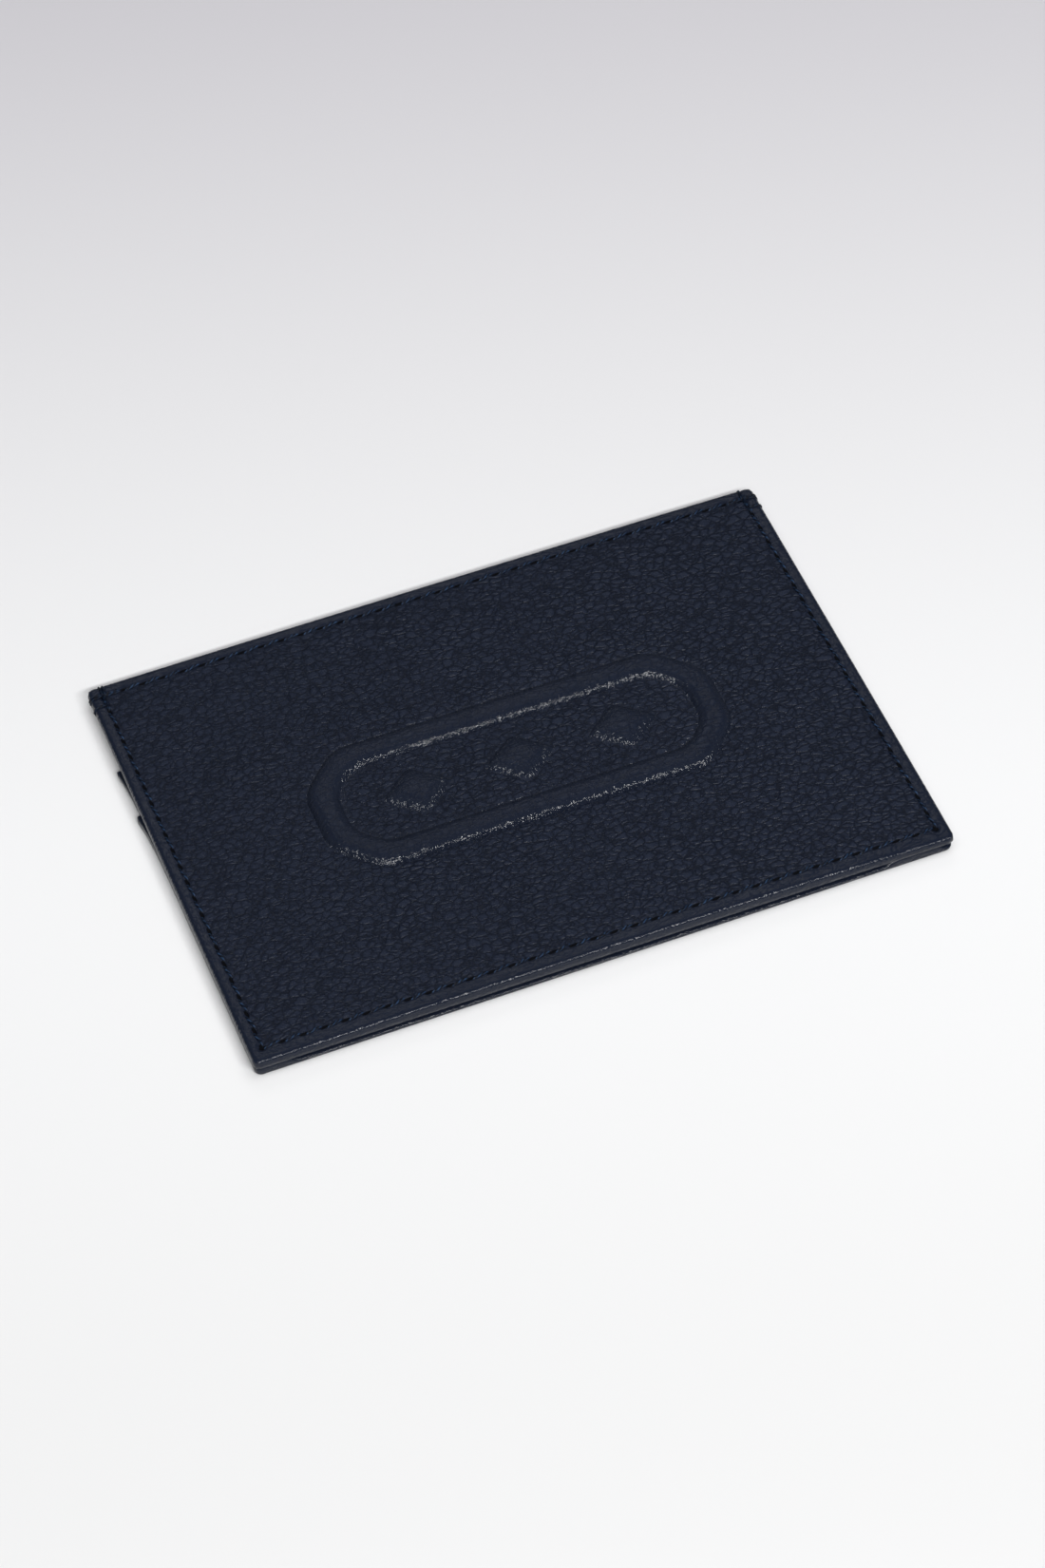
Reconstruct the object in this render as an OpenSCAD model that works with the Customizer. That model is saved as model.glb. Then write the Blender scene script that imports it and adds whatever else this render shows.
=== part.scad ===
// Slim leather card holder: a padded front panel and a back panel with two stepped
// card pockets, sewn together on three sides and open along the mouth (+Y).
// It lies on the face of the lower card pocket, with +Z towards the front cover.

/* [Panel outline] */
// Width along the mouth
panel_w = 100; // [96:0.5:110]
// Depth from the closed edge to the mouth
panel_d = 70; // [66:0.5:80]
// Radius of the outside corners, seen from the front
corner_r = 1.2; // [1:0.1:3.5]

/* [Layer thicknesses] */
// Grained leather of the front cover
cover_t = 0.75; // [0.6:0.05:1]
// Bonded board that stiffens the front panel
front_board_t = 0.5; // [0.3:0.05:0.8]
// Lining cloth
lining_t = 0.12; // [0.1:0.02:0.2]
// Skived leather of the back cover
back_cover_t = 0.35; // [0.3:0.05:0.6]
// Thin board inside the back panel
back_board_t = 0.1; // [0.1:0.05:0.4]
// Leather of the two card pockets
pocket_t = 0.45; // [0.4:0.05:0.7]
// Empty middle pocket between the two panels
middle_gap = 0.14; // [0.1:0.02:1]
// Slip between layers that slide on each other
slip = 0.05; // [0.04:0.01:0.1]

/* [Card pockets] */
// Mouth edge to the upper pocket's edge
upper_drop = 14.1; // [10:0.1:18]
// Upper pocket's edge to the lower pocket's edge
pocket_step = 8.6; // [6:0.1:12]
// Length of the upper pocket's leather, before its cloth tail
upper_leather = 15.5; // [12:0.5:20]
// How far the back panel's edges sit inside the front panel's
under_inset = 0.2; // [0.1:0.1:0.6]
// Distance from the closed edge to the seam under the upper pocket's tail
tail_seam_y = 11; // [8:0.5:16]

/* [Stitching] */
// Side edges to the side seams
side_inset = 1.9; // [1.6:0.1:3]
// Mouth edge to the mouth seams
mouth_inset = 1.9; // [1.6:0.1:3]
// Closed edge to the bottom seam
closed_inset = 2.35; // [1.8:0.05:4]
// Length of one stitch
stitch_pitch = 2.93; // [2:0.01:4]
// Thickness of the needle thread, on the front
needle_d = 0.42; // [0.3:0.02:0.6]
// Thickness of the bobbin thread, on the back
bobbin_d = 0.3; // [0.2:0.02:0.4]

/* [Raised motif] */
// Width of the raised frame
frame_w = 59; // [40:0.5:64]
// Height of the raised frame
frame_h = 22; // [18:0.5:26]
// Width of the frame's ridge
ridge_w = 4; // [3.4:0.1:4.5]
// How far the motif stands above the leather round it
motif_rise = 0.8; // [0.4:0.1:1.2]
// Raised lozenges inside the frame
lozenges = 3; // [1:1:3]

/* [Hidden] */
$fn = 48;
eps = 0.01;

navy = [0.035, 0.045, 0.075];
navy_thread = [0.03, 0.05, 0.11];
navy_cloth = [0.05, 0.06, 0.09];
board_grey = [0.42, 0.38, 0.33];
felt_white = [0.75, 0.73, 0.68];

// Heights of the layers above the resting face, from the lower pocket upwards.
z_upper = pocket_t + slip;
z_back = z_upper + pocket_t + slip;
z_back_board = z_back + back_cover_t;
z_back_lining = z_back_board + back_board_t;
back_top = z_back_lining + lining_t;
z_front = back_top + middle_gap;
z_front_board = z_front + lining_t;
z_front_skin = z_front_board + front_board_t;
front_top = z_front_skin + cover_t;
front_t = front_top - z_front;
back_panel_t = back_top - z_back;

// Edges of the parts, in plan.
mouth_y = panel_d / 2;
closed_y = -panel_d / 2;
upper_y = mouth_y - upper_drop;
lower_y = upper_y - pocket_step;
wrap_t = 0.8;                        // pocket leather turned up round the back panel, folded
wrap_r = 0.4;                        // rounding of that turned edge
under_w = panel_w - 2 * under_inset;
under_closed_y = closed_y + under_inset;
back_w = under_w - 2 * (wrap_t + slip);
back_closed_y = under_closed_y + wrap_t + slip;
hem_w = 6;                           // leather turned in behind the boards
board_inset = 1;                     // the boards stop short of the turned edges
tail_w = 90;                         // the upper pocket's tail, between the side seams
arm_h = 4;                           // the upper pocket is full width down to here below the lower mouth

// Seam lines.
seam_x = panel_w / 2 - side_inset;
seam_mouth_y = mouth_y - mouth_inset;
seam_closed_y = closed_y + closed_inset;
stitch_gap = 0.6;                    // leather showing between two stitches
stitch_slant = 7;                    // stitches lean across the seam
channel_w = 0.85;
channel_d = 0.2;

// Raised motif.
motif_at = [1, 0.2];
chamfer = 6;
lozenge_w = 10;
lozenge_h = 8;
lozenge_step = 15;
shoulder = 0.8;                      // the ridge narrows by this much over its upper half

// ---- plan shapes ----

module rounded_plan(w, d, r) {
    square([w - 2 * r, d], center = true);
    square([w, d - 2 * r], center = true);
    for (sx = [-1, 1], sy = [-1, 1])
        translate([sx * (w / 2 - r), sy * (d / 2 - r)]) circle(r);
}

// Elongated octagon, moved inwards by inset on every side.
function octagon(w, h, c, inset) =
    let (x = w / 2 - inset, y = h / 2 - inset, k = c - inset * (2 - sqrt(2)))
    [[x, y - k], [x - k, y], [-x + k, y], [-x, y - k],
     [-x, -y + k], [-x + k, -y], [x - k, -y], [x, -y + k]];

// Lozenge moved inwards by inset on every side.
function lozenge(w, h, inset) =
    let (slope = norm([w, h]), x = w / 2 - inset * slope / h, y = h / 2 - inset * slope / w)
    [[x, 0], [0, y], [-x, 0], [0, -y]];

module motif_plan(inset) {
    translate(motif_at) {
        difference() {
            polygon(octagon(frame_w, frame_h, chamfer, inset));
            polygon(octagon(frame_w, frame_h, chamfer, ridge_w - inset));
        }
        for (i = [0 : lozenges - 1])
            translate([(i - (lozenges - 1) / 2) * lozenge_step, 0])
                polygon(lozenge(lozenge_w, lozenge_h, inset));
    }
}

// ---- solid shapes ----

// Edge of a plate of thickness t, seen in section: rounded by e at the top and the bottom.
module edge_section(t, e) {
    for (z = [e, t - e]) translate([0, z]) intersection() {
        circle(e);
        translate([0, -e]) square([e, 2 * e]);
    }
    if (t > 2 * e + eps) translate([0, e]) square([e, t - 2 * e]);
}

// Plate with rounded edges, as leather turned over a board.
module turned_plate(w, d, r, t, e) {
    linear_extrude(t) rounded_plan(w - 2 * e, d - 2 * e, r - e);
    for (s = [0, 1]) {
        rotate([0, 0, 180 * s]) translate([w / 2 - e, d / 2 - r, 0]) rotate([90, 0, 0])
            linear_extrude(d - 2 * r) edge_section(t, e);
        rotate([0, 0, 90 + 180 * s]) translate([d / 2 - e, w / 2 - r, 0]) rotate([90, 0, 0])
            linear_extrude(w - 2 * r) edge_section(t, e);
    }
    for (sx = [-1, 1], sy = [-1, 1])
        translate([sx * (w / 2 - r), sy * (d / 2 - r), 0])
            rotate_extrude() translate([r - e, 0]) edge_section(t, e);
}

// One stitch of thread of diameter d, lying along X or Y.
module stitch(d, turn) {
    run = stitch_pitch - stitch_gap - d;
    rotate([0, 0, turn + stitch_slant]) rotate([0, 90, 0]) {
        cylinder(d = d, h = run, center = true);
        for (s = [-1, 1]) translate([0, 0, s * run / 2]) sphere(d = d);
    }
}

// Whole stitches along a line of the given length, centred on the origin.
module seam(d, length, turn) {
    n = floor(length / stitch_pitch);
    for (i = [0 : n - 1])
        rotate([0, 0, turn]) translate([(i - (n - 1) / 2) * stitch_pitch, 0, 0])
            stitch(d, 0);
}

module channel(length, turn) {
    rotate([0, 0, turn]) cube([length, channel_w, 2 * channel_d], center = true);
}

// Thread laid along runs that are parallel to an axis.
module thread_path(points, d) {
    for (p = points) translate(p) sphere(d = d);
    for (i = [0 : len(points) - 2]) {
        v = points[i + 1] - points[i];
        translate((points[i] + points[i + 1]) / 2) rotate([0, abs(v[0]) > abs(v[2]) ? 90 : 0, 0])
            cylinder(d = d, h = norm(v), center = true);
    }
}

// Loop of thread that starts on the front at reach from the edge, passes over the edge at +X,
// follows the back panel's edge, which is set in, and returns along the back.
module edge_loop(reach, set_in, d) {
    top = front_top + d / 2;
    ledge = z_front - d / 2;
    bottom = z_back - d / 2;
    out = d / 2;
    thread_path(set_in > 0
        ? [[-reach, 0, top], [out, 0, top], [out, 0, ledge], [out - set_in, 0, ledge],
           [out - set_in, 0, bottom], [-reach, 0, bottom]]
        : [[-reach, 0, top], [out, 0, top], [out, 0, bottom], [-reach, 0, bottom]], d);
}

// Back tack that locks the seams where they run off the mouth edge and the side edge.
module mouth_tack() {
    tack_reach = 3.6;
    for (y = [0, -2]) translate([panel_w / 2, seam_mouth_y + y, 0]) edge_loop(2.6, panel_w / 2 - back_w / 2, needle_d);
    for (x = [0, -0.75]) translate([seam_x + x, mouth_y, 0])
        rotate([0, 0, 90]) edge_loop(tack_reach, 0, needle_d);
}

// ---- front panel ----

// The board stops short of the turned edge.
module front_board_plan() {
    rounded_plan(panel_w - 2 * board_inset, panel_d - 2 * board_inset, 1);
}

module front_cover() {
    color(navy) difference() {
        union() {
            translate([0, 0, z_front]) turned_plate(panel_w, panel_d, corner_r, front_t, front_t / 2);
            translate([0, 0, front_top - cover_t / 2]) {
                linear_extrude(cover_t / 2 + motif_rise / 2) motif_plan(0);
                linear_extrude(cover_t / 2 + motif_rise) motif_plan(shoulder);
            }
        }
        // room for the board, and the window in the hem where the lining shows
        translate([0, 0, z_front_board])
            linear_extrude(front_board_t) front_board_plan();
        translate([0, 0, z_front - eps]) linear_extrude(lining_t + 2 * eps)
            rounded_plan(panel_w - 2 * hem_w, panel_d - 2 * hem_w, corner_r);
        translate([0, 0, z_front_skin - eps]) linear_extrude(motif_rise + eps) motif_plan(cover_t);
        // seam channel
        translate([0, 0, front_top]) {
            for (y = [seam_mouth_y, seam_closed_y]) translate([0, y, 0]) channel(2 * seam_x + channel_w, 0);
            for (x = [-seam_x, seam_x]) translate([x, (seam_mouth_y + seam_closed_y) / 2, 0])
                channel(seam_mouth_y - seam_closed_y, 90);
        }
    }
}

module motif_padding() {
    color(felt_white) translate([0, 0, z_front_skin]) linear_extrude(motif_rise) motif_plan(cover_t);
}

module front_board() {
    color(board_grey) translate([0, 0, z_front_board]) linear_extrude(front_board_t) front_board_plan();
}

module front_lining() {
    color(navy_cloth) translate([0, 0, z_front])
        linear_extrude(lining_t) rounded_plan(panel_w - 2 * hem_w, panel_d - 2 * hem_w, corner_r);
}

// ---- back panel ----

// Centre and depth of the back panel, which stops inside the lower pocket's turned-up edge.
back_d = mouth_y - back_closed_y;
back_y = (mouth_y + back_closed_y) / 2;

module back_plan(inset) {
    translate([0, back_y]) rounded_plan(back_w - 2 * inset, back_d - 2 * inset, corner_r - min(inset, 1));
}

module back_cover() {
    color(navy) difference() {
        translate([0, back_y, z_back]) turned_plate(back_w, back_d, corner_r, back_panel_t, back_panel_t / 2);
        translate([0, 0, z_back_board]) linear_extrude(back_board_t) back_plan(board_inset);
        translate([0, 0, z_back_lining]) linear_extrude(lining_t + eps) back_plan(hem_w);
        // channel of the mouth seam, on the outside
        translate([0, seam_mouth_y, z_back]) channel(2 * seam_x - 2, 0);
    }
}

module back_board() {
    color(board_grey) translate([0, 0, z_back_board]) linear_extrude(back_board_t) back_plan(board_inset);
}

module back_lining() {
    color(navy_cloth) translate([0, 0, z_back_lining]) linear_extrude(lining_t) back_plan(hem_w);
}

// ---- card pockets ----

// Space that the back panel fills inside the turned-up edges of the pockets.
module back_panel_space(z) {
    translate([0, back_y, z]) linear_extrude(back_top)
        rounded_plan(back_w + 2 * slip, back_d + 2 * slip, corner_r);
}

// Slice of a turned plate between two lines across it.
module turned_strip(y0, y1, t) {
    intersection() {
        turned_plate(under_w, 2 * (mouth_y - under_inset), corner_r, t, wrap_r);
        translate([-panel_w / 2, y0, 0]) cube([panel_w, y1 - y0, t]);
    }
}

// The upper pocket's leather turns up round the side edges where it shows, and runs on below
// the lower pocket's mouth between that pocket's own turned edges.
module upper_card_pocket() {
    leather_end = upper_y - upper_leather;
    inner_w = back_w;
    color(navy) difference() {
        translate([0, 0, z_upper]) union() {
            turned_strip(lower_y + slip, upper_y, back_top - z_upper);
            translate([-inner_w / 2, lower_y - arm_h, 0]) cube([inner_w, arm_h + 2 * slip, pocket_t]);
            translate([-tail_w / 2, leather_end, 0]) cube([tail_w, lower_y - leather_end, pocket_t]);
        }
        back_panel_space(z_upper + pocket_t);
    }
}

module upper_pocket_tail() {
    tail_top = upper_y - upper_leather;
    tail_bottom = closed_y + tail_seam_y - 1.5;
    color(navy_cloth) translate([-tail_w / 2, tail_bottom, z_upper + pocket_t - lining_t])
        cube([tail_w, tail_top - tail_bottom, lining_t]);
}

// The lower pocket turns up round the closed edge and the side edges of the back panel.
module lower_card_pocket() {
    color(navy) difference() {
        turned_strip(under_closed_y, lower_y, back_top);
        back_panel_space(pocket_t);
        // seam channels, on the resting face
        translate([0, seam_closed_y, 0]) channel(2 * seam_x + channel_w, 0);
        for (x = [-seam_x, seam_x]) translate([x, (lower_y + seam_closed_y) / 2, 0])
            channel(lower_y - seam_closed_y + eps, 90);
    }
}

// ---- threads ----

needle_z = front_top - channel_d + needle_d / 2;
side_len = seam_mouth_y - seam_closed_y;
side_mid = (seam_mouth_y + seam_closed_y) / 2;

module front_mouth_thread() {
    color(navy_thread) translate([0, seam_mouth_y, needle_z]) seam(needle_d, 2 * seam_x - 3, 0);
}

module needle_thread() {
    color(navy_thread) {
        translate([0, seam_closed_y, needle_z]) seam(needle_d, 2 * seam_x, 0);
        for (x = [-seam_x, seam_x]) translate([x, side_mid - 2.2, needle_z])
            seam(needle_d, side_len - 5.5, 90);
    }
}

// The bobbin thread runs along whichever layer is outermost at that place.
module bobbin_thread() {
    z_low = bobbin_d / 2;
    z_mid = z_upper - bobbin_d / 2;
    color(navy_thread) {
        translate([0, seam_closed_y, z_low]) seam(bobbin_d, 2 * seam_x - 1, 0);
        for (x = [-seam_x, seam_x]) {
            translate([x, (lower_y + seam_closed_y) / 2, z_low])
                seam(bobbin_d, lower_y - seam_closed_y - 2, 90);
            translate([x, (lower_y + upper_y) / 2, z_mid]) seam(bobbin_d, pocket_step - 1, 90);
            translate([x, (upper_y + seam_mouth_y) / 2 - 1.2, z_back - bobbin_d / 2])
                seam(bobbin_d, seam_mouth_y - upper_y - 5, 90);
        }
    }
}

module back_mouth_thread() {
    color(navy_thread) translate([0, seam_mouth_y, z_back + channel_d - bobbin_d / 2])
        seam(bobbin_d, 2 * seam_x - 3, 0);
}

module tail_seam_thread() {
    color(navy_thread) translate([0, closed_y + tail_seam_y, z_upper + pocket_t - lining_t - bobbin_d / 2])
        seam(bobbin_d, tail_w - 4, 0);
}

module right_mouth_tack() {
    color(navy_thread) mouth_tack();
}

module left_mouth_tack() {
    color(navy_thread) mirror([1, 0, 0]) mouth_tack();
}

front_cover();
motif_padding();
front_board();
front_lining();
back_cover();
back_board();
back_lining();
upper_card_pocket();
upper_pocket_tail();
lower_card_pocket();
front_mouth_thread();
needle_thread();
bobbin_thread();
back_mouth_thread();
tail_seam_thread();
left_mouth_tack();
right_mouth_tack();
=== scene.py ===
"""Stitched leather card holder with a padded front panel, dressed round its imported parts.

The front panel is grained leather turned over a board, with a raised padded motif. The back
panel carries two stepped card pockets. One needle-and-bobbin seam down each side and along the
closed edge holds the panels together, and back tacks lock it at the mouth. All lengths are in
metres unless a name says otherwise.
"""

import logging
import math
import random
from dataclasses import dataclass, field
from enum import Enum
from typing import Callable, Optional, Sequence, Union

import bmesh
import bpy
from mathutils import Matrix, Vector, noise


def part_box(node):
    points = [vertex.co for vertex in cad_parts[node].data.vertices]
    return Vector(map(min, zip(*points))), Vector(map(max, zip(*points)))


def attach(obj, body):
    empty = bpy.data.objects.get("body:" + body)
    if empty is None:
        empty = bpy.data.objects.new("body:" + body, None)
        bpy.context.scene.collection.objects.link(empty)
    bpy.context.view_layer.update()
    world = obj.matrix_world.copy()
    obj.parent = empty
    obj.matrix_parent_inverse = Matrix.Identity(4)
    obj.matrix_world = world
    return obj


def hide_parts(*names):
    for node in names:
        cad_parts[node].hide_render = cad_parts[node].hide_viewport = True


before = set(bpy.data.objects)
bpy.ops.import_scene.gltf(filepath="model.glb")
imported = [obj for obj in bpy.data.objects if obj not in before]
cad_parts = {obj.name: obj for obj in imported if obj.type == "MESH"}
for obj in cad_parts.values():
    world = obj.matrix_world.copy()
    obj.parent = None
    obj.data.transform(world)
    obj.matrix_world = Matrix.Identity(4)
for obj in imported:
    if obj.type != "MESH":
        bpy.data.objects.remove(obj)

LOG = logging.getLogger("card_holder")
MM = 0.001
Socket = bpy.types.NodeSocket
Value = Union[Socket, float, Sequence[float]]
Colour = tuple[float, float, float, float]


# --------------------------------------------------------------------------- small helpers


def smooth(low: float, high: float, x: float) -> float:
    """Smooth step of x from 0 at low to 1 at high."""
    t = min(1.0, max(0.0, (x - low) / (high - low)))
    return t * t * (3 - 2 * t)


def bell(x: float, width: float) -> float:
    """Bell curve of x, 1 at 0 and about a third at width."""
    return math.exp(-((x / width) ** 2))


def soft_min(a: float, b: float, k: float) -> float:
    """Smaller of a and b, with the corner between them rounded over k."""
    h = max(k - abs(a - b), 0.0) / k
    return min(a, b) - h * h * k / 4


def grid_lines(spans: Sequence[tuple[float, float, float]]) -> list[float]:
    """Positions of grid lines whose spacing changes from span to span.

    Args:
        spans: start, end and wanted spacing of each span, in order and end to end.

    Returns:
        The positions, from the first start to the last end.
    """
    lines = [spans[0][0]]
    for start, end, pitch in spans:
        count = max(1, round((end - start) / pitch))
        lines += [start + (end - start) * (i + 1) / count for i in range(count)]
    return lines


# --------------------------------------------------------------------------- shader wiring


class Wiring:
    """Adds nodes to a node tree and links them."""

    def __init__(self, tree: bpy.types.NodeTree) -> None:
        """Works on the given tree."""
        self.tree = tree

    def node(self, kind: str, **settings: object) -> bpy.types.Node:
        """A new node of that kind, with its properties set."""
        made = self.tree.nodes.new(kind)
        for name, value in settings.items():
            setattr(made, name, value)
        return made

    def put(self, socket: Socket, value: Value) -> None:
        """Links a socket into an input, or sets the input's value."""
        if isinstance(value, bpy.types.NodeSocket):
            self.tree.links.new(value, socket)
        else:
            socket.default_value = value

    def math(self, operation: str, a: Value, b: Value = 0.0, clamp: bool = False) -> Socket:
        """Result of a math node."""
        made = self.node("ShaderNodeMath", operation=operation, use_clamp=clamp)
        self.put(made.inputs[0], a)
        self.put(made.inputs[1], b)
        return made.outputs[0]

    def vector(self, operation: str, a: Value, b: Value = (0.0, 0.0, 0.0)) -> Socket:
        """Result of a vector math node."""
        made = self.node("ShaderNodeVectorMath", operation=operation)
        self.put(made.inputs[0], a)
        self.put(made.inputs[3 if operation == "SCALE" else 1], b)
        return made.outputs[0]

    def step(self, value: Value, low: Value, high: Value) -> Socket:
        """Smooth step of value from 0 at low to 1 at high."""
        made = self.node("ShaderNodeMapRange", interpolation_type="SMOOTHSTEP")
        self.put(made.inputs["Value"], value)
        self.put(made.inputs["From Min"], low)
        self.put(made.inputs["From Max"], high)
        return made.outputs["Result"]

    def between(self, factor: Value, low: Value, high: Value) -> Socket:
        """Number between low and high, at factor."""
        made = self.node("ShaderNodeMix", data_type="FLOAT")
        self.put(made.inputs[0], factor)
        self.put(made.inputs[2], low)
        self.put(made.inputs[3], high)
        return made.outputs[0]

    def blend(self, factor: Value, a: Value, b: Value) -> Socket:
        """Colour between a and b, at factor."""
        made = self.node("ShaderNodeMix", data_type="RGBA")
        self.put(made.inputs[0], factor)
        self.put(made.inputs[6], a)
        self.put(made.inputs[7], b)
        return made.outputs[2]

    def axes(self, point: Value) -> bpy.types.NodeOutputs:
        """The X, Y and Z of a point."""
        made = self.node("ShaderNodeSeparateXYZ")
        self.put(made.inputs[0], point)
        return made.outputs

    def place(self) -> Socket:
        """The point in the piece's own frame, in metres."""
        return self.node("ShaderNodeTexCoord").outputs["Object"]

    def in_mm(self, point: Value) -> Socket:
        """A point given in metres, in millimetres."""
        return self.vector("SCALE", point, 1000.0)

    def bump(self, height: Value, distance: float, strength: float = 1.0) -> Socket:
        """Normal of a relief.

        Args:
            height: the relief, about 0 to 1.
            distance: depth in metres that a height of 1 stands for.
            strength: how much of it shows.

        Returns:
            The normal.
        """
        made = self.node("ShaderNodeBump")
        made.inputs["Strength"].default_value = strength
        made.inputs["Distance"].default_value = distance
        self.put(made.inputs["Height"], height)
        return made.outputs[0]

    def noise(self, point: Value, scale: Value, detail: float = 2.0, roughness: float = 0.5) -> Socket:
        """Noise at a point, from 0 to 1."""
        made = self.node("ShaderNodeTexNoise")
        self.put(made.inputs["Vector"], point)
        self.put(made.inputs["Scale"], scale)
        made.inputs["Detail"].default_value = detail
        made.inputs["Roughness"].default_value = roughness
        return made.outputs[0]

    def cells(self, point: Value, scale: Value, feature: str = "DISTANCE_TO_EDGE") -> Socket:
        """Distance within the cells of a Voronoi pattern."""
        made = self.node("ShaderNodeTexVoronoi", feature=feature)
        self.put(made.inputs["Vector"], point)
        self.put(made.inputs["Scale"], scale)
        return made.outputs["Distance"]

    def group(self, tree: bpy.types.NodeTree, **inputs: Value) -> bpy.types.Node:
        """A placed node group. Underscores in an input's name stand for spaces."""
        made = self.node("ShaderNodeGroup", node_tree=tree)
        for name, value in inputs.items():
            self.put(made.inputs[name.replace("_", " ")], value)
        return made


def new_finish(name: str) -> tuple[bpy.types.Material, Wiring, bpy.types.Node]:
    """A new node material, its wiring and its Principled shader."""
    made = bpy.data.materials.new(name)
    made.use_nodes = True
    return made, Wiring(made.node_tree), made.node_tree.nodes["Principled BSDF"]


def new_group(name: str, inputs: dict[str, tuple[str, object]], outputs: Sequence[str]) -> tuple:
    """A shader node group with named sockets.

    Args:
        name: the group's name.
        inputs: socket type and default value of each input, by name.
        outputs: names of the outputs, which are all numbers.

    Returns:
        The tree, its wiring, its input sockets by name and its output node.
    """
    tree = bpy.data.node_groups.new(name, "ShaderNodeTree")
    for key, (kind, value) in inputs.items():
        made = tree.interface.new_socket(name=key, in_out="INPUT", socket_type=kind)
        if kind == "NodeSocketFloat":
            made.default_value = value
    for key in outputs:
        tree.interface.new_socket(name=key, in_out="OUTPUT", socket_type="NodeSocketFloat")
    wiring = Wiring(tree)
    entry = wiring.node("NodeGroupInput")
    leave = wiring.node("NodeGroupOutput")
    return tree, wiring, entry.outputs, leave.inputs


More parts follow.
